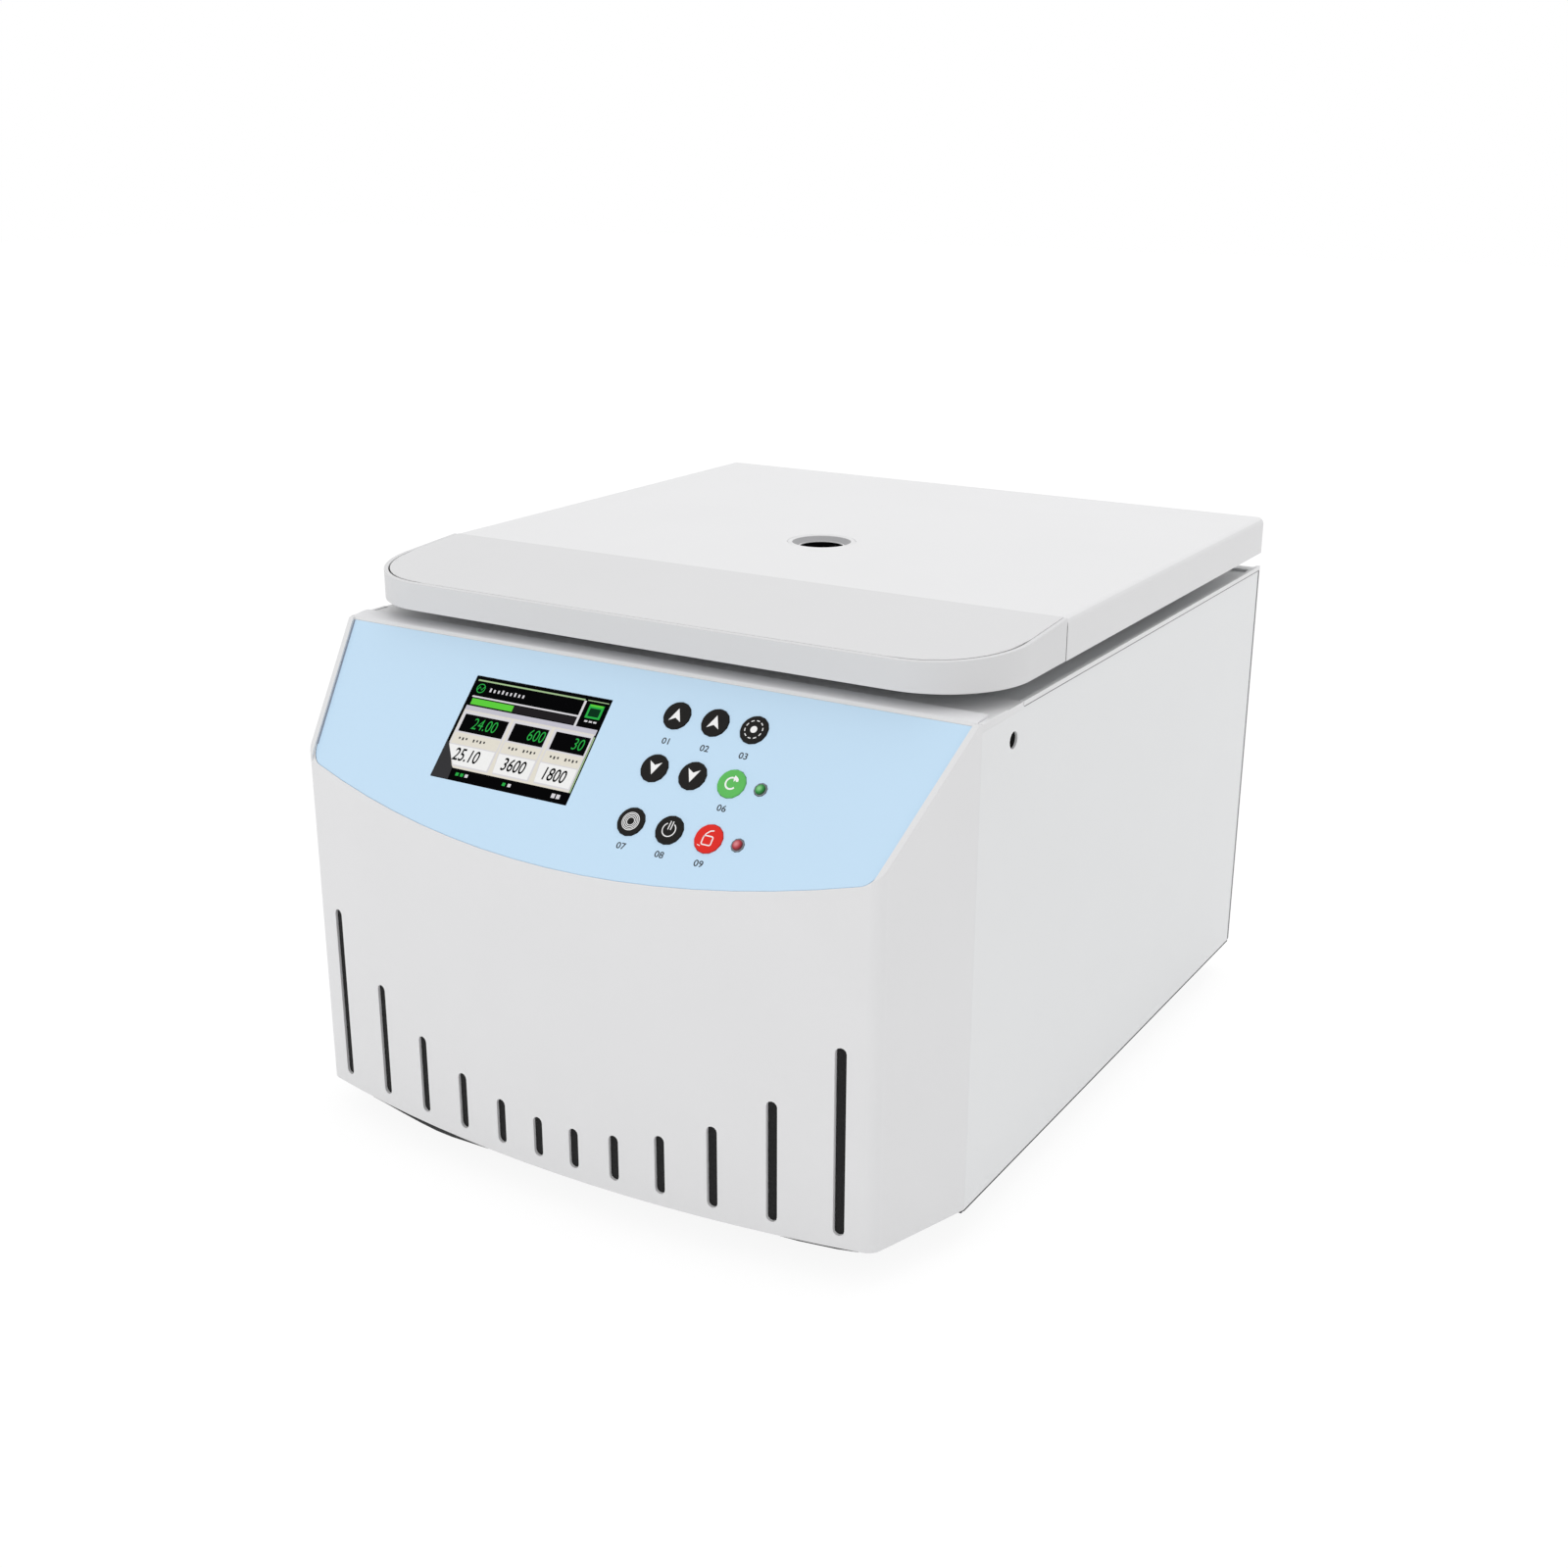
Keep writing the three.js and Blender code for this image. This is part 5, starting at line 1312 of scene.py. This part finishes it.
def text_mesh(words, size, depth, stretch, swell, shear=0.0):
    """Flat numbers with a little depth, about their own middle, in millimetres."""
    curve = bpy.data.curves.new("words", "FONT")
    curve.body = words
    curve.size = size
    curve.extrude = depth / 2
    curve.resolution_u = 4
    curve.offset = swell
    curve.shear = shear
    curve.align_x = "CENTER"
    curve.align_y = "CENTER"
    holder = bpy.data.objects.new("words", curve)
    scene.collection.objects.link(holder)
    evaluated = holder.evaluated_get(bpy.context.evaluated_depsgraph_get())
    mesh = bpy.data.meshes.new_from_object(evaluated)
    bpy.data.objects.remove(holder)
    mesh.transform(Matrix.Diagonal((stretch, 1, 1, 1)))
    return mesh


def gathered(name, parts, look):
    """Several meshes, each with the matrix that places it, as one."""
    bm = bmesh.new()
    for mesh, matrix in parts:
        mesh.transform(matrix)
        bm.from_mesh(mesh)
    bmesh.ops.remove_doubles(bm, verts=bm.verts, dist=PRINT_WELD)
    made = bpy.data.meshes.new(name)
    bm.to_mesh(made)
    bm.free()
    made.materials.clear()
    made.materials.append(look)
    return made


PRINT_DROPS = (-14.9, -13.7, -13.6)
PRINT_FORM = {"size": 4.9, "depth": 0.06, "stretch": 1.1, "swell": 0.07}
print_ink = material("print_ink", (40, 47, 54), 0.5, drift=(150, 0.08))
numbers = []
for number in (1, 2, 3, 6, 7, 8, 9):
    x, y = key_place(number)
    spot = Matrix.Translation((x, y + PRINT_DROPS[(number - 1) // 3], 0.01))
    numbers.append((text_mesh(f"{number:02d}", **PRINT_FORM), PANEL @ spot))
piece("key_numbers", gathered("key_numbers", numbers, print_ink), "base", "overlay_blue")
print("keys with numbers:", len(numbers))

# %% [markdown]
# ## Lamps
# Two small lamps beside the green and the red key tell running from stopped. Each is a dome of tinted
# plastic in a grey collar. The colour is deep at the edge, partly because one looks through more of it
# there and partly as painted shade, and pale near a spot a little off the middle as a painted highlight. A
# spherical gradient about that spot, read through a colour ramp, gives both in one texture.

# %% Lamps of the panel
LAMP_X = 100.2
LAMP_REACH = 2.9
DOME_FOOT = -1
DOME_WALL = 0.2
DOME_RISE = 0.9
COLLAR_RING = ((2.8, -1), (3.45, -1), (3.45, 0.2), (2.8, 0.4))
COLLAR_EASE = 0.12
HIGHLIGHT_OFFSET = Vector((-0.5, 0, 0.4)) * MM
HIGHLIGHT_REACH = 1.15 * LAMP_REACH * MM
SHADE_TO_HIGHLIGHT_PLACES = (0.05, 0.35, 0.85)

collar = material("lamp_collar", (112, 116, 122), 0.45, drift=(200, 0.1))
for name, row, edge_to_highlight_tints in (
    ("lamp_run", 1, ((20, 66, 34), (40, 140, 60), (150, 222, 150))),
    ("lamp_stop", 2, ((84, 30, 38), (172, 50, 60), (232, 150, 156))),
):
    axes = panel_axes(LAMP_X, KEY_FIRST[1] - row * KEY_PITCH[1])
    look = material(f"{name}_lens", edge_to_highlight_tints[1], 0.2, Specular_IOR_Level=0.2)
    tree = look.node_tree
    place = add(tree, "ShaderNodeTexCoord").outputs["Object"]
    centre = axes.translation + HIGHLIGHT_OFFSET
    moved = add(tree, "ShaderNodeMapping", {
        "Vector": place, "Location": -centre / HIGHLIGHT_REACH, "Scale": [1 / HIGHLIGHT_REACH] * 3,
    }).outputs["Vector"]
    # The ramp paints a darker edge and a pale highlight a little off the middle.
    ball = add(tree, "ShaderNodeTexGradient", {"Vector": moved}, gradient_type="SPHERICAL")
    ramp = add(tree, "ShaderNodeValToRGB", {"Fac": ball.outputs["Fac"]})
    ramp.color_ramp.elements.new(SHADE_TO_HIGHLIGHT_PLACES[1])
    for element, spot, tint in zip(ramp.color_ramp.elements, SHADE_TO_HIGHLIGHT_PLACES, edge_to_highlight_tints):
        element.position = spot
        element.color = linear(*tint)
    tree.links.new(ramp.outputs["Color"], shader_of(look).inputs["Base Color"])
    cap = [(LAMP_REACH * x, DOME_WALL + DOME_RISE * y) for x, y in QUARTER]
    dome = [(0, DOME_FOOT), (LAMP_REACH, DOME_FOOT), *cap]
    bm = bmesh.new()
    spun(bm, [Vector(point) * MM for point in dome], False, SMALL_TURN, axes)
    piece(f"{name}_dome", finished(bm, "dome", look), "base", slot_of[name], name)
    ring = eased([Vector(point) * MM for point in COLLAR_RING], COLLAR_EASE * MM, True)
    bm = bmesh.new()
    spun(bm, ring, True, SMALL_TURN, axes)
    piece(f"{name}_collar", finished(bm, "collar", collar), "base", "black_plastic")
print("lamps: 2")

# %% [markdown]
# ## Pocket edge
# Along the film's left edge the wall of the pocket is in shade and shows as a thin grey line. It is
# a line and hardly a form, so a flat stroke just proud of the film draws it.

# %% Pocket edge
FILM_EDGE = ((-196.0, -1.9), (-178.4, -80.0))
FILM_EDGE_WIDTH = 1.3

pocket_shade = material("pocket_shade", (146, 158, 176), 0.6, drift=(80, 0.05))
bm = bmesh.new()
stroke(bm, FILM_EDGE, FILM_EDGE_WIDTH, -0.05, 0.04)
built(bm, "pocket_edge", pocket_shade, "base", "moulding", PANEL)
print("pocket edge from", FILM_EDGE[0], "to", FILM_EDGE[1])

# %% [markdown]
# ## Display
# The display is a dark module behind a clear lens, and it is on. Its picture is built from thin
# tiles that give off their own light, in layers a few hundredths of a millimetre apart: a header, a
# progress bar, three cards with a set value above an actual one, and a footer. The values are plain
# numbers. Every tile is given by its shares of the width and of the height, which is how a screen
# designer would lay them out too.

# %% Display glass and tiles
screen_glass = material("screen_glass", (8, 8, 9), 0.3, Specular_IOR_Level=0, sheen=(60, 0.24, 0.36))
fine("display_lens", screen_glass, 0.1)

SCREEN_LEFT = -94.3
SCREEN_TOP = -22.0
SCREEN_WIDTH = 90
SCREEN_HEIGHT = 61.5
TILE_STEP = 0.03
SCREEN_GLOW = 0.9


def lit(name, colour):
    """A screen colour: it gives off its light and hardly reflects any."""
    return material(
        name, (4, 4, 4), 0.4, drift=(900, 0.05, "Emission Color"), Emission_Color=linear(*colour),
        Emission_Strength=SCREEN_GLOW, Specular_IOR_Level=0,
    )


def screen_point(across_share, down_share):
    return SCREEN_LEFT + across_share * SCREEN_WIDTH, SCREEN_TOP - down_share * SCREEN_HEIGHT


SCREEN_COLOURS = {
    "cream": (236, 231, 218), "white": (252, 252, 250), "mist": (204, 202, 214),
    "frame": (226, 224, 228), "pale_green": (170, 200, 150), "bright_green": (98, 214, 66),
    "green": (46, 178, 74), "deep_green": (12, 54, 30), "dark": (36, 33, 36), "black": (5, 5, 6),
    "slate": (58, 58, 60),
}
screen_looks = {name: lit(f"screen_{name}", colour) for name, colour in SCREEN_COLOURS.items()}
CARD_SHARES = ((0.025, 0.385), (0.40, 0.685), (0.705, 0.985))
tiles = {look: [] for look in screen_looks}


def tile(look, layer, *shares):
    """A tile from left, top, right and bottom shares, or from several corner pairs."""
    if len(shares) == 4:
        left, top, right_edge, bottom = shares
        corners = [(left, bottom), (right_edge, bottom), (right_edge, top), (left, top)]
    else:
        corners = [(shares[k], shares[k + 1]) for k in range(0, len(shares), 2)]
    tiles[look].append((layer, [screen_point(*corner) for corner in corners]))


tile("pale_green", 1, 0.02, 0.032, 0.82, 0.046)
tile("pale_green", 1, 0.84, 0.034, 0.99, 0.042)
tile("frame", 1, 0.03, 0.192, 0.83, 0.207)
tile("frame", 1, 0.818, 0.046, 0.834, 0.30)
tile("dark", 1, 0.035, 0.216, 0.818, 0.282)
tile("bright_green", 2, 0.04, 0.219, 0.355, 0.277)
tile("green", 1, 0.865, 0.07, 0.97, 0.20)
tile("deep_green", 2, 0.88, 0.105, 0.955, 0.182)
tile("bright_green", 2, 0.872, 0.07, 0.962, 0.088)
for mark in range(3):
    tile("frame", 1, 0.875 + 0.032 * mark, 0.222, 0.897 + 0.032 * mark, 0.238)
tile("mist", 1, 0.02, 0.292, 0.99, 0.345)
tile("cream", 1, 0.13, 0.89, 0.985, 0.89, 0.985, 0.335, 0.02, 0.335, 0.02, 0.66, 0.115, 0.87)
tile("slate", 1, 0.0, 0.66, 0.0, 1.0, 0.13, 1.0, 0.125, 0.89, 0.11, 0.87, 0.015, 0.66)
tile("pale_green", 1, 0.987, 0.36, 0.995, 0.89)
for left, right_edge in CARD_SHARES:
    inner = left + 0.02
    outer = right_edge - 0.012
    line = left + 0.008
    foot = inner + (0.075 if left < 0.1 else 0)
    tile("frame", 2, foot, 0.872, right_edge, 0.872, right_edge, 0.35, left, 0.35, left, 0.68)
    tile("black", 3, inner, 0.375, outer, 0.545)
    tile("cream", 3, line, 0.56, right_edge - 0.008, 0.668)
    tile("white", 3, foot, 0.858, outer, 0.858, outer, 0.678, line, 0.678, line, 0.695)
    for mark in range(7):
        start = left + 0.05 + 0.026 * mark + (0.03 if mark > 2 else 0)
        tile("slate", 4, start, 0.598, start + 0.012, 0.626 if mark % 2 else 0.618)
for look, starts in (("green", (0.17, 0.205, 0.52)), ("frame", (0.24, 0.56))):
    for start in starts:
        tile(look, 1, start, 0.925, start + 0.022, 0.955)
tile("frame", 1, 0.88, 0.925, 0.905, 0.965)
tile("frame", 1, 0.915, 0.925, 0.94, 0.965)

for look, entries in tiles.items():
    bm = bmesh.new()
    for layer, outline in entries:
        add_slab(bm, outline, -0.05, layer * TILE_STEP)
    built(bm, f"display_{look}", screen_looks[look], "base", "screen_lens", PANEL)
print("tiles on the display:", sum(len(entries) for entries in tiles.values()))

# %% [markdown]
# ## Display numbers
# The numbers are text meshes again, in the screen's own colours and leaned a little. Set values are
# green and thin, actual ones black and bold. The header has a small round icon made of strokes and
# a row of short marks.

# %% Display numbers
VALUE_LAYER = 5 * TILE_STEP
VALUE_DEPTH = 0.04
VALUE_SHEAR = 0.12
VALUE_FORMS = {"green": (9.6, 0.78, -0.06), "black": (10.4, 0.74, 0.12)}
VALUE_SHARES = (
    ("green", "24.00", 0.215, 0.46), ("green", "600", 0.60, 0.46), ("green", "30", 0.905, 0.46),
    ("black", "25.10", 0.185, 0.765), ("black", "3600", 0.54, 0.768), ("black", "1800", 0.835, 0.772),
)
ICON_SHARES = (0.066, 0.115)
HEADER_SHARES = (0.135, 0.118)
HEADER_STEP = 0.031

values = {"green": [], "black": []}
for look, words, across_share, down_share in VALUE_SHARES:
    size, stretch, swell = VALUE_FORMS[look]
    spot = Matrix.Translation((*screen_point(across_share, down_share), VALUE_LAYER))
    mesh = text_mesh(words, size, VALUE_DEPTH, stretch, swell, VALUE_SHEAR)
    values[look].append((mesh, PANEL @ spot))
icon = bmesh.new()
stroke(icon, arc(2.6, 0, 352.5, 47), 0.5, 0, 0.05, True)
stroke(icon, [(-2.4, -1.6), (-0.8, 0.9), (0.7, -0.9), (2.4, 1.7)], 0.5, 0, 0.05)
icon_mesh = finished(icon, "icon", screen_looks["green"])
values["green"].append((icon_mesh, PANEL @ Matrix.Translation((*screen_point(*ICON_SHARES), 0.02))))
for look, parts in values.items():
    mesh = gathered(f"values_{look}", parts, screen_looks[look])
    piece(f"display_values_{look}", mesh, "base", "screen_lens")
header = bmesh.new()
for mark in range(9):
    x, y = screen_point(HEADER_SHARES[0] + HEADER_STEP * mark, HEADER_SHARES[1])
    top = y + (1.3 if mark % 3 == 0 else 0.8)
    add_slab(header, [(x, y - 1), (x + 1.1, y - 1), (x + 1.1, top), (x, top)], 0, VALUE_DEPTH)
built(header, "display_header_marks", screen_looks["frame"], "base", "screen_lens", PANEL)
print("numbers on the display:", len(VALUE_SHARES))

# %% [markdown]
# ## Chamber and drive
# Under the lid is the chamber: a drawn steel bowl with fine polishing rings, a seal round its rim, a
# guard ring outside it, and below them the motor on three rubber mounts. They are all turned
# pieces. The shaft and nut are ground bright, the seal and mounts are dull black rubber. The yoke,
# the lid's lock, the hinges and the drive electronics are blocks, and get rounded edges instead.

# %% Chamber and drive
for node, look, ease, steps in (
    ("chamber_bowl", stainless, 1.2, FINE_TURN), ("guard_ring", zinc_plate, 0.4, FINE_TURN),
    ("chamber_gasket", black_rubber, 0.8, FINE_TURN), ("shaft_boot", black_rubber, 0.5, FINE_TURN),
    ("motor_plate", zinc_plate, 0.5, FINE_TURN), ("motor_housing", turned_aluminium, 1.2, FINE_TURN),
    ("motor_mount_1", black_rubber, 1.5, SMALL_TURN), ("motor_mount_2", black_rubber, 1.5, SMALL_TURN),
    ("motor_mount_3", black_rubber, 1.5, SMALL_TURN), ("drive_shaft", polished_steel, 0.5, SMALL_TURN),
    ("rotor_nut", polished_steel, 0.8, FINE_TURN),
):
    turned_piece(node, look, ease, steps)
fine("rotor_yoke", turned_aluminium, 0.7, steps=3)
fine("lock_solenoid", zinc_plate, 0.4)
fine("lock_bolt", polished_steel, 0.4)
fine("drive_module", turned_aluminium, 0.3)
for hand in ("left", "right"):
    fine(f"hinge_base_{hand}", zinc_plate, 0.3)
    fine(f"hinge_leaf_{hand}", zinc_plate, 0.3)
    pin = f"hinge_pin_{hand}"
    turned_piece(pin, polished_steel, 0.4, SMALL_TURN, sideways_axes(pin))
turned_piece("release_guide", black_plastic, 0.3, SMALL_TURN, sideways_axes("release_guide"))

# %% [markdown]
# ## Nut grip
# The rotor's nut is tightened by hand, so its side has upright ribs. One rib is made, and a tree
# turns copies of it round the axis.

# %% Nut grip
RIB_COUNT = 32
RIB_RADIUS = 0.75
RIB_SUNK = 0.1
RIB_FOOT = 1.2
RIB_TOP = 9.6

tree, given = new_tree("round_an_axis", Count=RIB_COUNT)
swing = xyz(tree, Z=flow(tree, "GeometryNodeInputIndex") * (2 * math.pi / given["Count"]))
rotation = flow(tree, "FunctionNodeEulerToRotation", {0: swing})
ring = copies(tree, row_of(tree, given["Count"]), given["Geometry"], Rotation=rotation)
end_tree(tree, ring, given)

nut_low, nut_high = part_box("rotor_nut")
nut_radius = (nut_high.x - nut_low.x) / 2 / MM
bm = bmesh.new()
add_slab(bm, arc(RIB_RADIUS, 0, 330, 11, (nut_radius - RIB_SUNK, 0)), RIB_FOOT, RIB_TOP)
bm.transform(IN_MM)
ribs = grown("nut_ribs", finished(bm, "rib", polished_steel), tree, polished_steel, Count=RIB_COUNT)
ribs.transform(Matrix.Translation((AXIS.x, AXIS.y, nut_low.z)))
piece("nut_grip", crisp(ribs, angle=50), "rotor", "steel")
print("ribs on the nut:", RIB_COUNT)

# %% [markdown]
# ## Buckets
# Four steel cups hang in the yoke's slots by two pins each, and swing out as the rotor spins. Each
# cup is one outline turned about its own axis: a rounded foot, a straight wall, a rolled lip and
# the inside with its round bottom. The pins are turned too and lie across it.

# %% Buckets
CUP = (
    (0, -66, 0), (20, -66, 6), (20, 5, 0.3), (21.2, 5, 0.5), (21.2, 8, 1.1), (17.7, 8, 0.8),
    (17.7, -62.5, 6), (0, -62.5, 0),
)
CUP_TURN = 72
PIN_TURN = 32
CUP_PIN = ((0, 18.5, 0), (4, 18.5, 0.1), (4, 30.4, 0.6), (0, 30.4, 0))
PIVOT_RADIUS = 58
PIVOT_HEIGHT = 214


def eased_each(corners):
    """An outline from (radius, height, round) entries, in metres."""
    outline = [Vector((r, z)) * MM for r, z, _ in corners]
    result = []
    for k, (_, _, ease) in enumerate(corners):
        if ease == 0:
            result.append(outline[k])
            continue
        three = [outline[k - 1], outline[k], outline[k + 1]]
        result.extend(eased(three, ease * MM, False)[1:-1])
    return result


for number in range(1, 5):
    swing = Matrix.Rotation((number - 1) * math.pi / 2, 4, "Z")
    reach = Matrix.Translation((PIVOT_RADIUS * MM, 0, PIVOT_HEIGHT * MM))
    pivot = Matrix.Translation(AXIS) @ swing @ reach
    bm = bmesh.new()
    spun(bm, eased_each(CUP), False, CUP_TURN, pivot)
    for lean in (-math.pi / 2, math.pi / 2):
        spun(bm, eased_each(CUP_PIN), False, PIN_TURN, pivot @ Matrix.Rotation(lean, 4, "X"))
    mesh = finished(bm, "bucket", bucket_steel)
    weighted(piece(f"bucket_{number}_cup", mesh, f"bucket_{number}", "steel", f"bucket_{number}"))
print("buckets: 4")

# %% [markdown]
# ## Mains inlet and switch
# At the rear are the mains inlet with its three contact blades and the rocker switch above it. The
# rocker carries the two plain signs for on and off, a bar and a ring, as thin white shapes.

# %% Inlet and switch
BLADE_PLACES = ((-7, -1.5), (0, 2.5), (7, -1.5))
BLADE_HALF = (0.9, 2)
BLADE_DEPTHS = (17, 3)
ROCKER_TILT = math.radians(8)
ROCKER_PIVOT = (-140, 235.75, 116)
SIGN_PLACE = 5.5
SIGN_TOP = 5.0

fine("power_inlet", black_plastic, 0.4)
fine("switch_bezel", black_plastic, 0.3)
fine("power_rocker", black_plastic, 0.4)

blade_metal = material("blade_metal", (206, 190, 150), 0.3, sheen=(120, 0.22, 0.4), Metallic=1)
inlet_x, _, inlet_z = inlet_middle / MM
blades = [
    tuple(
        (inlet_x + x + side * BLADE_HALF[0], inlet_face / MM - depth, inlet_z + z + side * BLADE_HALF[1])
        for side, depth in zip((-1, 1), BLADE_DEPTHS)
    )
    for x, z in BLADE_PLACES
]
bars("inlet_blades", blades, blade_metal, "base", "steel", 0.25)

rocker_axes = (
    Matrix.Translation(Vector(ROCKER_PIVOT) * MM) @ Matrix.Rotation(ROCKER_TILT, 4, "X")
    @ Matrix.Rotation(-math.pi / 2, 4, "X") @ IN_MM
)
bar = bmesh.new()
add_slab(bar, [(-0.35, -2.2), (0.35, -2.2), (0.35, 2.2), (-0.35, 2.2)], 0, 0.3)
ring = bmesh.new()
stroke(ring, arc(1.9, 0, 350, 35), 0.6, 0, 0.3, True)
signs = [
    (finished(bm, "sign", mark_white), rocker_axes @ Matrix.Translation((0, place, SIGN_TOP)))
    for bm, place in ((bar, -SIGN_PLACE), (ring, SIGN_PLACE))
]
piece("rocker_signs", gathered("rocker_signs", signs, mark_white), "power_rocker", "black_plastic")
print("contact blades:", len(blades))

# %% [markdown]
# ## World
# The picture this is measured against has even studio light and a pure white ground. A pale dome
# lights the object from all round. The world looks white to the camera, and to what mirrors or
# shows it, but it lights the object at its own lower level.

# %% World
DOME_LIGHT = 0.8

world = bpy.data.worlds.new("studio")
scene.world = world
world.use_nodes = True
tree = world.node_tree
tree.nodes.clear()


def seen_share(tree):
    """1 for rays that come from the camera, a mirror or a clear piece, and 0 for the rest."""
    path = add(tree, "ShaderNodeLightPath").outputs
    seen = path["Is Camera Ray"]
    for name in ("Is Glossy Ray", "Is Transmission Ray"):
        seen = add(tree, "ShaderNodeMath", {0: seen, 1: path[name]}, operation="MAXIMUM").outputs[0]
    return seen


dome = add(tree, "ShaderNodeBackground", {"Color": (1, 1, 1, 1), "Strength": DOME_LIGHT})
white = add(tree, "ShaderNodeBackground", {"Color": (1, 1, 1, 1), "Strength": 1})
mixed = add(tree, "ShaderNodeMixShader", {
    "Fac": seen_share(tree), 1: dome.outputs[0], 2: white.outputs[0],
})
add(tree, "ShaderNodeOutputWorld", {"Surface": mixed.outputs[0]})
print("dome light:", DOME_LIGHT)

# %% [markdown]
# ## Floor
# The floor is a plain matt sheet. What the camera sees of it is mostly its own white glow, plus a
# small share of the light that falls on it, so that it reads as white and still takes the shadow.

# %% Floor
FLOOR_REACH = 8
FLOOR_SHADOW_SHARE = 0.14
FLOOR_GLOW = 0.9

floor_mesh = bpy.data.meshes.new("floor")
corners = [(-1, -1, 0), (1, -1, 0), (1, 1, 0), (-1, 1, 0)]
floor_mesh.from_pydata([Vector(corner) * FLOOR_REACH for corner in corners], [], [(0, 1, 2, 3)])
floor = bpy.data.objects.new("floor", floor_mesh)
scene.collection.objects.link(floor)
floor_paint = bpy.data.materials.new("floor_paint")
floor_paint.use_nodes = True
tree = floor_paint.node_tree
tree.nodes.clear()
matt = add(tree, "ShaderNodeBsdfDiffuse", {"Color": linear(250, 250, 250)})
faint = add(tree, "ShaderNodeBsdfDiffuse", {"Color": (*[FLOOR_SHADOW_SHARE] * 3, 1)})
glow = add(tree, "ShaderNodeEmission", {"Color": (1, 1, 1, 1), "Strength": FLOOR_GLOW})
shown = add(tree, "ShaderNodeAddShader", {0: faint.outputs[0], 1: glow.outputs[0]})
mixed = add(tree, "ShaderNodeMixShader", {
    "Fac": seen_share(tree), 1: matt.outputs[0], 2: shown.outputs[0],
})
add(tree, "ShaderNodeOutputMaterial", {"Surface": mixed.outputs[0]})
floor_mesh.materials.append(floor_paint)
print("floor:", 2 * FLOOR_REACH, "m wide")

# %% [markdown]
# ## Studio lamps
# Large soft lamps in front, at the side and above give those faces a little more light than the
# dome, which is what makes the forms read. Each is turned towards the middle of the object.

# %% Studio lamps
LAMP_SIZE = 1.6

aim = (size_before[0] + size_before[1]) / 2
for name, place, power in (
    ("front_lamp", (-0.6, -2.4, 1.1), 7.5),
    ("side_lamp", (2.4, 1.4, 0.8), 4),
    ("top_lamp", (0.2, 0.8, 2.4), 11),
):
    data = bpy.data.lights.new(name, "AREA")
    data.shape = "SQUARE"
    data.size = LAMP_SIZE
    data.energy = power
    lamp = bpy.data.objects.new(name, data)
    scene.collection.objects.link(lamp)
    lamp.location = place
    lamp.rotation_euler = (aim - Vector(place)).to_track_quat("-Z", "Y").to_euler()
scene.view_settings.view_transform = "Standard"
print("lamps:", len(bpy.data.lights))

# %% [markdown]
# ## Size
# The box of the frame, taken before anything was dressed, is printed here. The dressed
# object must keep the frame's box.

# %% Size and finish
print("size before", [tuple(round(v, 4) for v in corner) for corner in size_before])
